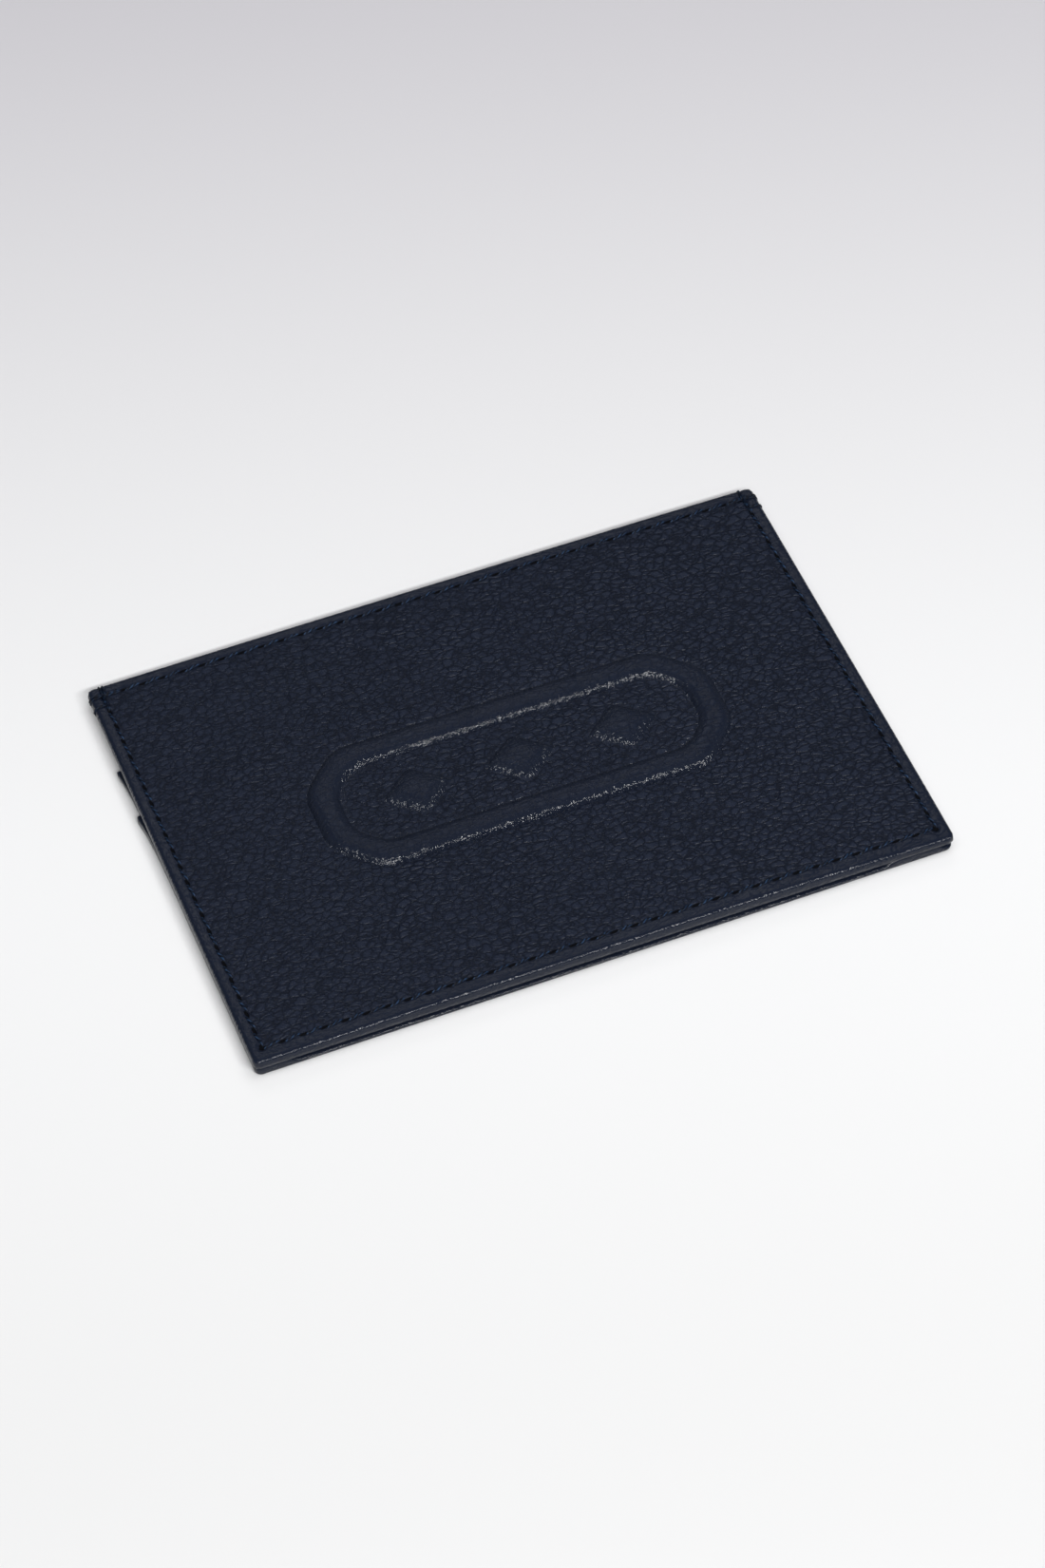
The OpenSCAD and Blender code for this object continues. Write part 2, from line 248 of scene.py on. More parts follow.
class Effects:
    """Shader node groups that several finishes share, each built once."""

    _made: dict[str, bpy.types.NodeTree] = {}

    @classmethod
    def grain(cls) -> bpy.types.NodeTree:
        """Pebbled leather grain.

        Calm flattens the pebbles, Pull adds the fine wrinkles of stretched leather, which run
        along Y where Lie is 0 and along X where it is 1.
        Height runs from about 0 to 1, Crease is 1 in the creases and drives their painted shade, Tone varies
        slowly.
        """
        if "grain" not in cls._made:
            tree, w, a, out = new_group(
                "pebble grain",
                {"Point": ("NodeSocketVector", None), "Cells per mm": ("NodeSocketFloat", 0.9),
                 "Calm": ("NodeSocketFloat", 0.0), "Pull": ("NodeSocketFloat", 0.0),
                 "Lie": ("NodeSocketFloat", 0.0)},
                ("Height", "Crease", "Tone"),
            )
            mm = w.in_mm(a["Point"])
            lean = w.node("ShaderNodeMapping")
            w.put(lean.inputs["Vector"], mm)
            lean.inputs["Rotation"].default_value = (0.0, 0.0, math.radians(14))
            lean.inputs["Scale"].default_value = (0.8, 1.15, 1.0)
            drift = w.node("ShaderNodeTexNoise")
            w.put(drift.inputs["Vector"], lean.outputs[0])
            drift.inputs["Scale"].default_value = 0.8
            drift.inputs["Detail"].default_value = 3.0
            centred = w.vector("SUBTRACT", drift.outputs["Color"], (0.5, 0.5, 0.5))
            shift = w.vector("SCALE", centred, 1.5)
            point = w.vector("ADD", lean.outputs[0], shift)
            large = w.cells(point, a["Cells per mm"])
            small = w.cells(point, w.math("MULTIPLY", a["Cells per mm"], 2.3))
            round_ = w.cells(point, a["Cells per mm"], "F1")
            plateau = w.step(large, -0.05, 0.34)
            pimple = w.step(small, 0.0, 0.3)
            rightward = w.math("MULTIPLY", w.axes(mm)[0], 0.004)
            hide = w.math("SUBTRACT", w.noise(mm, 0.16, 3.0), rightward)
            patch = w.step(hide, 0.38, 0.62)
            mixed = w.math(
                "ADD", w.math("MULTIPLY", plateau, w.between(patch, 0.74, 0.40)),
                w.math("MULTIPLY", pimple, w.between(patch, 0.12, 0.26)),
            )
            dome = w.math("MULTIPLY", w.math("MULTIPLY", round_, round_), -0.5)
            fine = w.math("MULTIPLY", w.noise(mm, 4.2, 4.0, 0.65), 0.56)
            pebbles = w.math("ADD", w.math("ADD", mixed, dome), fine)
            quiet = w.math(
                "ADD", w.math("MULTIPLY", a["Calm"], 0.72), w.math("MULTIPLY", a["Pull"], 0.8))
            calm = w.math("SUBTRACT", 1.0, quiet, True)
            upright = w.noise(w.vector("MULTIPLY", mm, (2.9, 0.6, 0.6)), 1.0, 2.0, 0.6)
            level = w.noise(w.vector("MULTIPLY", mm, (0.6, 2.9, 0.6)), 1.0, 2.0, 0.6)
            folds = w.math("SUBTRACT", w.between(a["Lie"], upright, level), 0.5)
            rucks = w.math("MULTIPLY", w.math("MULTIPLY", folds, 2.8), a["Pull"])
            w.put(out["Height"], w.math("ADD", w.math("MULTIPLY", pebbles, calm), rucks))
            # Crease mask: where the colour gets painted shade in the grain's creases.
            edge = w.math("SUBTRACT", 1.0, w.step(large, 0.0, 0.11))
            w.put(out["Crease"], w.math("MULTIPLY", edge, calm))
            w.put(out["Tone"], w.noise(mm, 0.07, 4.0, 0.6))
            cls._made["grain"] = tree
        return cls._made["grain"]

    @classmethod
    def pricks(cls) -> bpy.types.NodeTree:
        """Needle holes along one straight seam.

        Along and Across are millimetres along the seam from its middle and to its side.
        Mask is 1 in a hole. Holes lie Pitch apart over Length.
        """
        if "pricks" not in cls._made:
            number = "NodeSocketFloat"
            tree, w, a, out = new_group(
                "needle pricks",
                {"Along": (number, 0.0), "Across": (number, 0.0), "Pitch": (number, 2.9),
                 "Length": (number, 90.0), "Radius": (number, 0.3)},
                ("Mask",),
            )
            half = w.math("MULTIPLY", a["Length"], 0.5)
            turns = w.math("DIVIDE", w.math("ADD", a["Along"], half), a["Pitch"])
            past = w.math("SUBTRACT", turns, w.math("ROUND", turns))
            near = w.math("MULTIPLY", past, a["Pitch"])
            skew = w.math("ADD", a["Across"], w.math("MULTIPLY", near, -0.12))
            long_way = w.math("MULTIPLY", w.math("MULTIPLY", near, near), 0.11)
            reach = w.math("SQRT", w.math("ADD", long_way, w.math("MULTIPLY", skew, skew)))
            rim = w.step(reach, w.math("MULTIPLY", a["Radius"], 0.6), a["Radius"])
            hole = w.math("SUBTRACT", 1.0, rim)
            inside = w.math("LESS_THAN", w.math("ABSOLUTE", a["Along"]), w.math("ADD", half, 0.4))
            w.put(out["Mask"], w.math("MULTIPLY", hole, inside))
            cls._made["pricks"] = tree
        return cls._made["pricks"]

    @classmethod
    def wear(cls) -> bpy.types.NodeTree:
        """Slight polish from handling, as a mask of soft patches."""
        if "wear" not in cls._made:
            tree, w, a, out = new_group(
                "handling",
                {"Point": ("NodeSocketVector", None), "Amount": ("NodeSocketFloat", 1.0)}, ("Mask",),
            )
            mm = w.in_mm(a["Point"])
            broad = w.step(w.noise(mm, 0.045, 3.0, 0.6), 0.42, 0.68)
            streak = w.step(w.noise(mm, 0.9, 4.0, 0.7), 0.4, 0.75)
            both = w.math("MULTIPLY", broad, w.between(streak, 0.55, 1.0))
            w.put(out["Mask"], w.math("MULTIPLY", both, a["Amount"]))
            cls._made["wear"] = tree
        return cls._made["wear"]

    @classmethod
    def weave(cls) -> bpy.types.NodeTree:
        """Plain weave. Height is the yarns' relief, Lint a fine fuzz."""
        if "weave" not in cls._made:
            tree, w, a, out = new_group(
                "plain weave",
                {"Point": ("NodeSocketVector", None), "Yarns per mm": ("NodeSocketFloat", 3.0)},
                ("Height", "Lint"),
            )
            mm = w.in_mm(a["Point"])
            turn = w.math("MULTIPLY", a["Yarns per mm"], math.pi)
            axes = w.axes(mm)
            x, y = (w.math("SINE", w.math("MULTIPLY", axes[i], turn)) for i in (0, 1))
            warp, weft = w.math("ABSOLUTE", x), w.math("ABSOLUTE", y)
            over = w.math("GREATER_THAN", w.math("MULTIPLY", x, y), 0.0)
            w.put(out["Height"], w.between(over, warp, weft))
            w.put(out["Lint"], w.noise(mm, 9.0, 4.0, 0.7))
            cls._made["weave"] = tree
        return cls._made["weave"]


# --------------------------------------------------------------------------- finishes


@dataclass(frozen=True)
class SeamHoles:
    """One straight seam whose needle holes a leather shows, in millimetres."""

    along_x: bool
    middle: float
    offset: float
    length: float
    pitch: float


@dataclass(frozen=True)
class Leather:
    """Dyed, grained calf leather with a satin topcoat."""

    name: str
    seams: tuple[SeamHoles, ...]
    deep: Colour = (0.0072, 0.0104, 0.0208, 1.0)
    raised: Colour = (0.0156, 0.0205, 0.0372, 1.0)
    # crease is painted shade: the near-black colour that darkens the grain's creases.
    crease: Colour = (0.003, 0.004, 0.008, 1.0)
    # hole is painted shade: the near-black colour put into the needle holes.
    hole: Colour = (0.0003, 0.0006, 0.0020, 1.0)
    hole_radius_mm: float = 0.25
    cells_per_mm: float = 0.92
    relief: float = 0.17 * MM
    roughness: float = 0.28

    def material(self) -> bpy.types.Material:
        """The leather as a node material, which reads the attributes calm, pull and lie."""
        made, w, shader = new_finish(self.name)
        point = w.place()
        calm, pull, lie = (
            w.node("ShaderNodeAttribute", attribute_name=name).outputs["Fac"]
            for name in ("calm", "pull", "lie"))
        grain = w.group(
            Effects.grain(), Point=point, Cells_per_mm=self.cells_per_mm, Calm=calm, Pull=pull, Lie=lie)
        wear = w.group(Effects.wear(), Point=point, Amount=1.0).outputs["Mask"]
        holes = self._holes(w, point)
        high = w.step(grain.outputs["Height"], 0.1, 0.95)
        tone = w.between(grain.outputs["Tone"], 0.0, 1.0)
        bright = w.math("ADD", high, w.math("MULTIPLY", tone, 0.6))
        lift = w.math("MULTIPLY", bright, 0.62, clamp=True)
        colour = w.blend(lift, self.deep, self.raised)
        # Painted shade: the grain's creases are darkened in the colour.
        colour = w.blend(w.math("MULTIPLY", grain.outputs["Crease"], 0.6), colour, self.crease)
        # Painted shade: the needle holes are coloured near black.
        colour = w.blend(holes, colour, self.hole)
        w.put(shader.inputs["Base Color"], colour)
        taut = w.math("MAXIMUM", w.math("MULTIPLY", calm, 0.8), pull, clamp=True)
        rough = w.between(w.math("MAXIMUM", high, taut), self.roughness + 0.13, self.roughness)
        rough = w.math("SUBTRACT", rough, w.math("MULTIPLY", taut, 0.12))
        rough = w.math("SUBTRACT", rough, w.math("MULTIPLY", wear, 0.05))
        w.put(shader.inputs["Roughness"], w.math("ADD", rough, w.math("MULTIPLY", holes, 0.6), True))
        bare = w.math("SUBTRACT", 1.0, holes)
        shader.inputs["Specular IOR Level"].default_value = 0.2
        rubbed = w.between(lie, 0.95, 1.3)
        burnish = w.math("MULTIPLY", rubbed, w.math("SUBTRACT", pull, 0.1, True), True)
        coat = w.math("ADD", w.math("MULTIPLY", burnish, 0.9), 0.02)
        w.put(shader.inputs["Coat Weight"], w.math("MULTIPLY", coat, bare))
        shader.inputs["Coat Roughness"].default_value = 0.11
        height = w.math("SUBTRACT", grain.outputs["Height"], w.math("MULTIPLY", holes, 1.6))
        normal = w.bump(height, self.relief)
        w.put(shader.inputs["Normal"], normal)
        w.put(shader.inputs["Coat Normal"], normal)
        return made

    def _holes(self, w: Wiring, point: Socket) -> Optional[Socket]:
        """Mask of the needle holes of all the seams."""
        x, y, _ = w.axes(w.in_mm(point))
        total: Optional[Socket] = None
        for seam in self.seams:
            along, across = (x, y) if seam.along_x else (y, w.math("MULTIPLY", x, -1.0))
            offset = seam.offset if seam.along_x else -seam.offset
            mask = w.group(
                Effects.pricks(), Along=w.math("SUBTRACT", along, seam.middle),
                Across=w.math("SUBTRACT", across, offset), Pitch=seam.pitch, Length=seam.length,
                Radius=self.hole_radius_mm,
            ).outputs["Mask"]
            total = mask if total is None else w.math("MAXIMUM", total, mask)
        return total


@dataclass(frozen=True)
class Thread:
    """Waxed polyester thread of two twisted plies."""

    name: str
    # dark is the thread's navy deepened to painted shade between the plies; light is a painted glint on the
    # ply crests.
    dark: Colour = (0.0006, 0.0018, 0.0065, 1.0)
    light: Colour = (0.0230, 0.0530, 0.118, 1.0)

    def material(self) -> bpy.types.Material:
        """The thread as a node material.

        It reads the map strand, which holds turns round and millimetres along.
        """
        made, w, shader = new_finish(self.name)
        around, along, _ = w.axes(w.node("ShaderNodeUVMap", uv_map="strand").outputs[0])
        turn = w.math("ADD", around, w.math("MULTIPLY", along, 0.9))
        fibre = w.math("SINE", w.math("MULTIPLY", turn, 2 * math.pi * 14))
        ply = w.math("ABSOLUTE", w.math("COSINE", w.math("MULTIPLY", turn, 2 * math.pi)))
        speck = w.noise(w.place(), 2600.0, 3.0, 0.6)
        # Painted highlight: the ply crests, flecked by speck, take the light colour as glints; the dark
        # colour between them is painted shade.
        lift = w.step(w.math("MULTIPLY", ply, speck), 0.26, 0.60)
        w.put(shader.inputs["Base Color"], w.blend(lift, self.dark, self.light))
        w.put(shader.inputs["Roughness"], w.between(speck, 0.36, 0.56))
        shader.inputs["Specular IOR Level"].default_value = 0.3
        height = w.math("ADD", w.math("MULTIPLY", fibre, 0.25), ply)
        w.put(shader.inputs["Normal"], w.bump(height, 0.05 * MM, 0.7))
        return made


@dataclass(frozen=True)
class Cloth:
    """Plain woven lining cloth."""

    name: str
    # yarn is the cloth's own colour; gap is painted shade between the yarns.
    yarn: Colour = (0.020, 0.025, 0.042, 1.0)
    gap: Colour = (0.006, 0.008, 0.014, 1.0)

    def material(self) -> bpy.types.Material:
        """The cloth as a node material."""
        made, w, shader = new_finish(self.name)
        weave = w.group(Effects.weave(), Point=w.place(), Yarns_per_mm=3.2)
        # Painted shade: the weave's low parts, between the yarns, take the darker gap colour.
        shade = w.math("MULTIPLY", weave.outputs["Height"], w.between(weave.outputs["Lint"], 0.7, 1.2))
        w.put(shader.inputs["Base Color"], w.blend(shade, self.gap, self.yarn))
        w.put(shader.inputs["Roughness"], w.between(weave.outputs["Lint"], 0.75, 0.95))
        shader.inputs["Sheen Weight"].default_value = 0.3
        w.put(shader.inputs["Normal"], w.bump(weave.outputs["Height"], 0.06 * MM))
        return made


@dataclass(frozen=True)
class Fibre:
    """Pressed fibres: the bonded board of a panel, or the felt under the motif."""

    name: str
    dark: Colour
    light: Colour
    fuzz: float = 0.05 * MM

    def material(self) -> bpy.types.Material:
        """The fibres as a node material."""
        made, w, shader = new_finish(self.name)
        point = w.place()
        fleck = w.noise(point, 1400.0, 5.0, 0.7)
        cloud = w.noise(point, 160.0, 2.0)
        w.put(shader.inputs["Base Color"], w.blend(
            w.math("MULTIPLY", w.math("ADD", fleck, cloud), 0.5), self.dark, self.light))
        w.put(shader.inputs["Roughness"], w.between(fleck, 0.8, 1.0))
        w.put(shader.inputs["Normal"], w.bump(fleck, self.fuzz))
        return made


# --------------------------------------------------------------------------- shared sizes


@dataclass(frozen=True)
class Plan:
    """Sizes that several sub-assemblies share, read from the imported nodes."""

    half_w: float
    mouth_y: float
    closed_y: float
    front_bottom: float
    front_top: float
    seam_x: float
    seam_mouth_y: float
    seam_closed_y: float
    back_low: float
    back_high: float
    back_half_w: float
    back_closed_y: float
    upper_low: float
    upper_y: float
    lower_y: float
    under_half_w: float
    under_closed_y: float
    motif_rise: float = 0.8 * MM
    needle_d: float = 0.42 * MM
    bobbin_d: float = 0.30 * MM
    across_count: int = 33
    side_count: int = 22

    @classmethod
    def read(cls) -> "Plan":
        """The sizes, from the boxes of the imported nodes."""
        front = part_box("front_cover")
        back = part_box("back_cover")
        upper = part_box("upper_card_pocket")
        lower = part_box("lower_card_pocket")
        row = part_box("front_mouth_thread")
        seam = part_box("needle_thread")
        side_half = 0.5 * cls.needle_d + 0.11 * MM
        return cls(
            half_w=front[1].x, mouth_y=front[1].y, closed_y=front[0].y,
            front_bottom=front[0].z, front_top=front[1].z - cls.motif_rise,
            seam_x=seam[1].x - side_half, seam_mouth_y=(row[0].y + row[1].y) / 2,
            seam_closed_y=seam[0].y + side_half,
            back_low=back[0].z, back_high=back[1].z, back_half_w=back[1].x, back_closed_y=back[0].y,
            upper_low=upper[0].z, upper_y=upper[1].y, lower_y=lower[1].y,
            under_half_w=lower[1].x, under_closed_y=lower[0].y,
        )

    def swell(self, x: float, y: float) -> float:
        """How far the front panel stands proud of a flat one, above the point x, y."""
        u, v = x / self.half_w, y / self.mouth_y
        bow = 0.30 * MM * (1 - u * u) * (1 - 0.15 * v * v)
        nip = 0.22 * MM * bell(math.hypot(x - self.half_w, y - self.closed_y), 14 * MM)
        wave = 0.035 * MM * noise.noise(Vector((x / (17 * MM), y / (17 * MM), 3.7)))
        return bow - nip + wave


# --------------------------------------------------------------------------- leather panels


class Side(Enum):
    """Which edge of a panel a point of its outline belongs to."""

    FLANK = "flank"
    MOUTH = "mouth"
    CLOSED = "closed"


@dataclass
class RimPoint:
    """A point of a panel's outline, with its outward direction."""

    x: float
    y: float
    out: Vector
    side: Side


@dataclass
class LeatherPanel:
    """A leather panel: a fine face whose outline is carried round the edges ring by ring.

    Attributes:
        half_w: half of the face's width, inside the edge's rounding.
        y0: lower end of the face.
        y1: upper end of the face.
        radius_closed: corner radius of the face at y0.
        radius_mouth: corner radius of the face at y1.
        xs: grid lines across.
        ys: grid lines along.
    """

    half_w: float
    y0: float
    y1: float
    radius_closed: float
    radius_mouth: float
    xs: list[float]
    ys: list[float]
    rim: dict = field(default_factory=dict)

    def _round_corner(self, x: float, y: float) -> tuple[float, float]:
        """Moves a point of the square grid so that the outline has round corners."""
        lower = y < (self.y0 + self.y1) / 2
        r = self.radius_closed if lower else self.radius_mouth
        cx = self.half_w - r
        cy = (self.y0 + r) if lower else (self.y1 - r)
        u = (abs(x) - cx) / r
        v = ((cy - y) if lower else (y - cy)) / r
        if u <= 0 or v <= 0:
            return x, y
        u, v = u * math.sqrt(1 - v * v / 2), v * math.sqrt(1 - u * u / 2)
        return math.copysign(cx + u * r, x), (cy - v * r) if lower else (cy + v * r)

    def _rim_point(self, x: float, y: float, i: int) -> RimPoint:
        """The outline's direction at a point that is on it, in column i of the grid."""
        lower = y < (self.y0 + self.y1) / 2
        r = self.radius_closed if lower else self.radius_mouth
        cx = math.copysign(self.half_w - r, x)
        cy = (self.y0 + r) if lower else (self.y1 - r)
        in_corner = abs(x) > abs(cx) + 1e-9 and ((y < cy) if lower else (y > cy))
        if in_corner:
            out = Vector((x - cx, y - cy, 0)).normalized()
        elif i in (0, len(self.xs) - 1):
            out = Vector((math.copysign(1, x), 0, 0))
        else:
            out = Vector((0, -1 if lower else 1, 0))
        if abs(out.x) > 0.72:
            side = Side.FLANK
        else:
            side = Side.CLOSED if out.y < 0 else Side.MOUTH
        return RimPoint(x, y, out, side)

    def face(self, height: Callable[[float, float], float]) -> bmesh.types.BMesh:
        """The face as a grid, with its outline's points kept in rim.

        Args:
            height: z of the face at a point x, y.

        Returns:
            The mesh, with float layers calm, pull and lie on its vertices.
        """
        bm = bmesh.new()
        for name in ("calm", "pull", "lie"):
            bm.verts.layers.float.new(name)
        nx, ny = len(self.xs) - 1, len(self.ys) - 1
        bmesh.ops.create_grid(bm, x_segments=nx, y_segments=ny, size=1.0)
        self.rim = {}
        for v in bm.verts:
            i, j = round((v.co.x + 1) / 2 * nx), round((v.co.y + 1) / 2 * ny)
            x, y = self._round_corner(self.xs[i], self.ys[j])
            v.co = (x, y, height(x, y))
            if i in (0, nx) or j in (0, ny):
                self.rim[v] = self._rim_point(x, y, i)
        return bm

    def carry(self, bm: bmesh.types.BMesh, place: Callable[[RimPoint, float], Vector]) -> None:
        """Extrudes the outline once and places the new ring.

        Args:
            bm: the panel's mesh.
            place: position of a rim point's new vertex, from the point and the old z.
        """
        edges = [e for e in bm.edges if e.is_boundary and e.verts[0] in self.rim]
        made = bmesh.ops.extrude_edge_only(bm, edges=edges)["geom"]
        fresh = {g for g in made if isinstance(g, bmesh.types.BMVert)}
        rim = {}
        for v in fresh:
            old = next(e.other_vert(v) for e in v.link_edges if e.other_vert(v) in self.rim)
            rim[v] = self.rim[old]
            v.co = place(rim[v], old.co.z)
        self.rim = rim

    def close(self, bm: bmesh.types.BMesh) -> None:
        """Fills the last ring with one face, and turns all faces outwards."""
        edges = [e for e in bm.edges if e.is_boundary]
        bmesh.ops.edgeloop_fill(bm, edges=edges)
        bmesh.ops.recalc_face_normals(bm, faces=bm.faces)

    def inward(self, point: RimPoint, d: float, z: float) -> Vector:
        """The rim point moved in by d on every side, as a smaller outline, at height z."""
        middle = (self.y0 + self.y1) / 2
        half = (self.y1 - self.y0) / 2
        y = middle + (point.y - middle) * (1 - d / half)
        return Vector((point.x * (1 - d / self.half_w), y, z))


def finish_piece(
    bm: bmesh.types.BMesh, name: str, material: bpy.types.Material, nodes: Sequence[str],
    crease_deg: float = 55.0,
) -> bpy.types.Object:
    """Turns a mesh into a piece of the card holder.

    Args:
        bm: the mesh, which is freed.
        name: name of the piece.
        material: its finish.
        nodes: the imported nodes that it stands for.
        crease_deg: edges sharper than this stay sharp.

    Returns:
        The piece.
    """
    mesh = bpy.data.meshes.new(name)
    bm.normal_update()
    bm.to_mesh(mesh)
    bm.free()
    for polygon in mesh.polygons:
        polygon.use_smooth = True
    mesh.set_sharp_from_angle(angle=math.radians(crease_deg))
    mesh.materials.append(material)
    piece = bpy.data.objects.new(name, mesh)
    bpy.context.scene.collection.objects.link(piece)
    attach(piece, "root")
    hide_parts(*nodes)
    LOG.info("%s: %d faces", name, len(mesh.polygons))
    return piece


# --------------------------------------------------------------------------- raised motif


@dataclass(frozen=True)
class Motif:
    """The raised motif: a long eight-sided frame round a row of lozenges, over felt."""

    centre: tuple[float, float] = (1.0 * MM, 0.2 * MM)
    width: float = 59 * MM
    height: float = 22 * MM
    chamfer: float = 6 * MM
    ridge: float = 4 * MM
    rise: float = 0.8 * MM
    lozenges: int = 3
    lozenge_w: float = 10 * MM
    lozenge_h: float = 8 * MM
    step: float = 15 * MM

    def frame_inset(self, x: float, y: float) -> float:
        """Distance of a point inside the frame's outline, rounded at its corners."""
        x, y = abs(x - self.centre[0]), abs(y - self.centre[1])
        flat = soft_min(self.width / 2 - x, self.height / 2 - y, 1.0 * MM)
        slope = (self.width / 2 + self.height / 2 - self.chamfer - x - y) / math.sqrt(2)
        return soft_min(flat, slope, 1.6 * MM)

    def lozenge_inset(self, x: float, y: float) -> float:
        """Distance of a point inside the outline of the nearest lozenge."""
        x, y = x - self.centre[0], y - self.centre[1]
        place = round(x / self.step + (self.lozenges - 1) / 2)
        place = min(self.lozenges - 1, max(0, place))
        x -= (place - (self.lozenges - 1) / 2) * self.step
        a, b = self.lozenge_w / 2, self.lozenge_h / 2
        ease = 0.45 * MM
        u, v = math.hypot(x, ease) / a, math.hypot(y, ease) / b
        return (1.06 - u - v) * a * b / math.hypot(a, b)

    def relief(self, x: float, y: float) -> tuple[float, float]:
        """Height of the leather over the motif, and how hard it is pulled there, from 0 to 1."""
        s = self.frame_inset(x, y)
        t = self.lozenge_inset(x, y)
        if s < -3 * MM:
            return 0.0, 0.0
        across = abs(2 * s / self.ridge - 1)
        ridge = (1 - min(1.0, across) ** 3.0) ** 0.66
        pillow = 0.0
        if t > 0:
            rise = min(1.0, t / (2.0 * MM))
            pillow = (1 - (1 - rise) ** 2.2) ** 0.74 * (0.86 + 0.14 * smooth(0.5 * MM, 2.6 * MM, t))
        body = self.rise * max(ridge, pillow)
        foot_out, foot_in = -s, s - self.ridge
        crease = 0.10 * bell(foot_out - 0.12 * MM, 0.32 * MM)
        crease += 0.10 * bell(foot_in - 0.12 * MM, 0.32 * MM)
        crease += 0.10 * bell(-t - 0.12 * MM, 0.30 * MM)
        dip = 0.05 * math.exp(-max(0.0, foot_out) / (1.3 * MM)) * (1 if s < 0 else 0)
        well = 0.06 * smooth(0, 1.2 * MM, foot_in) * (1 - smooth(-0.4 * MM, 0.2 * MM, t))
        wall = max(
            bell(across - 0.86, 0.26), bell((t - 0.42 * MM) / MM, 0.55), 0.4 * bell(foot_in / MM, 0.8))
        return body - (crease + dip + well) * MM, wall * (1 if s > -0.8 * MM else 0)


# --------------------------------------------------------------------------- front panel


@dataclass
class FrontPanel:
    """The front: its leather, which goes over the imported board, and the felt under its motif."""

    plan: Plan
    motif: Motif
    leather: Leather
    hem: float = 6 * MM
    rim_steps: int = 10
    rim_square: float = 0.72
    zone: float = 4.4 * MM
    edge_pitch: float = 0.28 * MM
    field_pitch: float = 0.46 * MM
    motif_pitch: float = 0.225 * MM

    def _lines(self, half: float, centre: float, reach: float) -> list[float]:
        """Grid lines of the face one way, closer at its edges and over the motif."""
        return grid_lines([
            (-half, -half + self.zone, self.edge_pitch),
            (-half + self.zone, centre - reach, self.field_pitch),
            (centre - reach, centre + reach, self.motif_pitch),
            (centre + reach, half - self.zone, self.field_pitch),
            (half - self.zone, half, self.edge_pitch)])

    def build(self) -> bpy.types.Object:
        """The front cover."""
        p = self.plan
        h = (p.front_top - p.front_bottom) / 2
        bx, by = p.half_w - h, p.mouth_y - h
        mx, my = self.motif.centre
        fx, fy = self.motif.width / 2 + 1.0 * MM, self.motif.height / 2 + 0.9 * MM
        xs, ys = self._lines(bx, mx, fx), self._lines(by, my, fy)
        panel = LeatherPanel(bx, -by, by, 0.2 * MM, 0.2 * MM, xs, ys)
        bm = panel.face(self.height)
        self._mark(bm)
        for k in range(1, self.rim_steps + 1):
            angle = math.pi * k / self.rim_steps
            panel.carry(bm, lambda r, z, a=angle: self._rim(r, a, h))
            self._mark_rim(bm, panel, angle)
        inner = self.hem - h
        turn_in = (
            (0.45 * MM, 0.0), (inner, 0.0), (inner, 0.12 * MM), (0.4 * MM, 0.12 * MM), (0.4 * MM, 0.62 * MM))
        for d, z in turn_in:
            panel.carry(bm, lambda r, _z, d=d, z=z: panel.inward(r, d, p.front_bottom + z))
        panel.close(bm)
        return finish_piece(
            bm, "front_cover_grained", self.leather.material(), ["front_cover"])

    def height(self, x: float, y: float) -> float:
        """z of the front's face at a point."""
        p = self.plan
        relief, wall = self.motif.relief(x, y)
        ruck = 0.0
        if wall > 0.1:
            ruck = 0.045 * MM * wall * (
                noise.noise(Vector((x / (0.55 * MM), y / (2.6 * MM), 0.0)))
                + noise.noise(Vector((x / (2.6 * MM), y / (0.55 * MM), 5.0))))
        return p.front_top + p.swell(x, y) + relief + ruck + self._seam_dent(x, y)

    def _seam_dent(self, x: float, y: float) -> float:
        """How the seams pull the leather down, with scallops between the needle holes."""
        p = self.plan
        total = 0.0
        rows = (
            (p.seam_mouth_y - y, x, p.seam_x, p.across_count),
            (y - p.seam_closed_y, x, p.seam_x, p.across_count),
            (p.seam_x - abs(x), y - (p.seam_mouth_y + p.seam_closed_y) / 2,
             (p.seam_mouth_y - p.seam_closed_y) / 2, p.side_count),
        )
        for inside, along, half, count in rows:
            if abs(inside) > 3 * MM or abs(along) > half + 0.6 * MM:
                continue
            pitch = 2 * half / count
            phase = abs(math.sin(math.pi * (along + half) / pitch))
            total -= (0.20 - 0.13 * phase) * MM * bell(inside + 0.05 * MM, 0.34 * MM)
            total += 0.05 * MM * phase * bell(inside + 0.60 * MM, 0.34 * MM)
            total -= 0.03 * MM * bell(inside - 0.8 * MM, 1.1 * MM)
        return total

    def _mark(self, bm: bmesh.types.BMesh) -> None:
        """Marks where the grain is calm and where the leather is pulled."""
        p = self.plan
        calm, pull, lie = (bm.verts.layers.float[name] for name in ("calm", "pull", "lie"))
        for v in bm.verts:
            x, y = v.co.x, v.co.y
            edge = min(p.seam_x - abs(x), p.seam_mouth_y - y, y - p.seam_closed_y)
            relief, wall = self.motif.relief(x, y)
            crest = smooth(0.35, 0.9, relief / self.motif.rise)
            v[calm] = max(1 - smooth(-0.5 * MM, 0.4 * MM, edge), 0.75 * crest)
            v[pull] = wall
            if wall > 0.02:
                step = 0.2 * MM
                rise = self.motif.relief
                slope_x = abs(rise(x + step, y)[0] - rise(x - step, y)[0])
                slope_y = abs(rise(x, y + step)[0] - rise(x, y - step)[0])
                v[lie] = slope_x / (slope_x + slope_y + 1e-9)

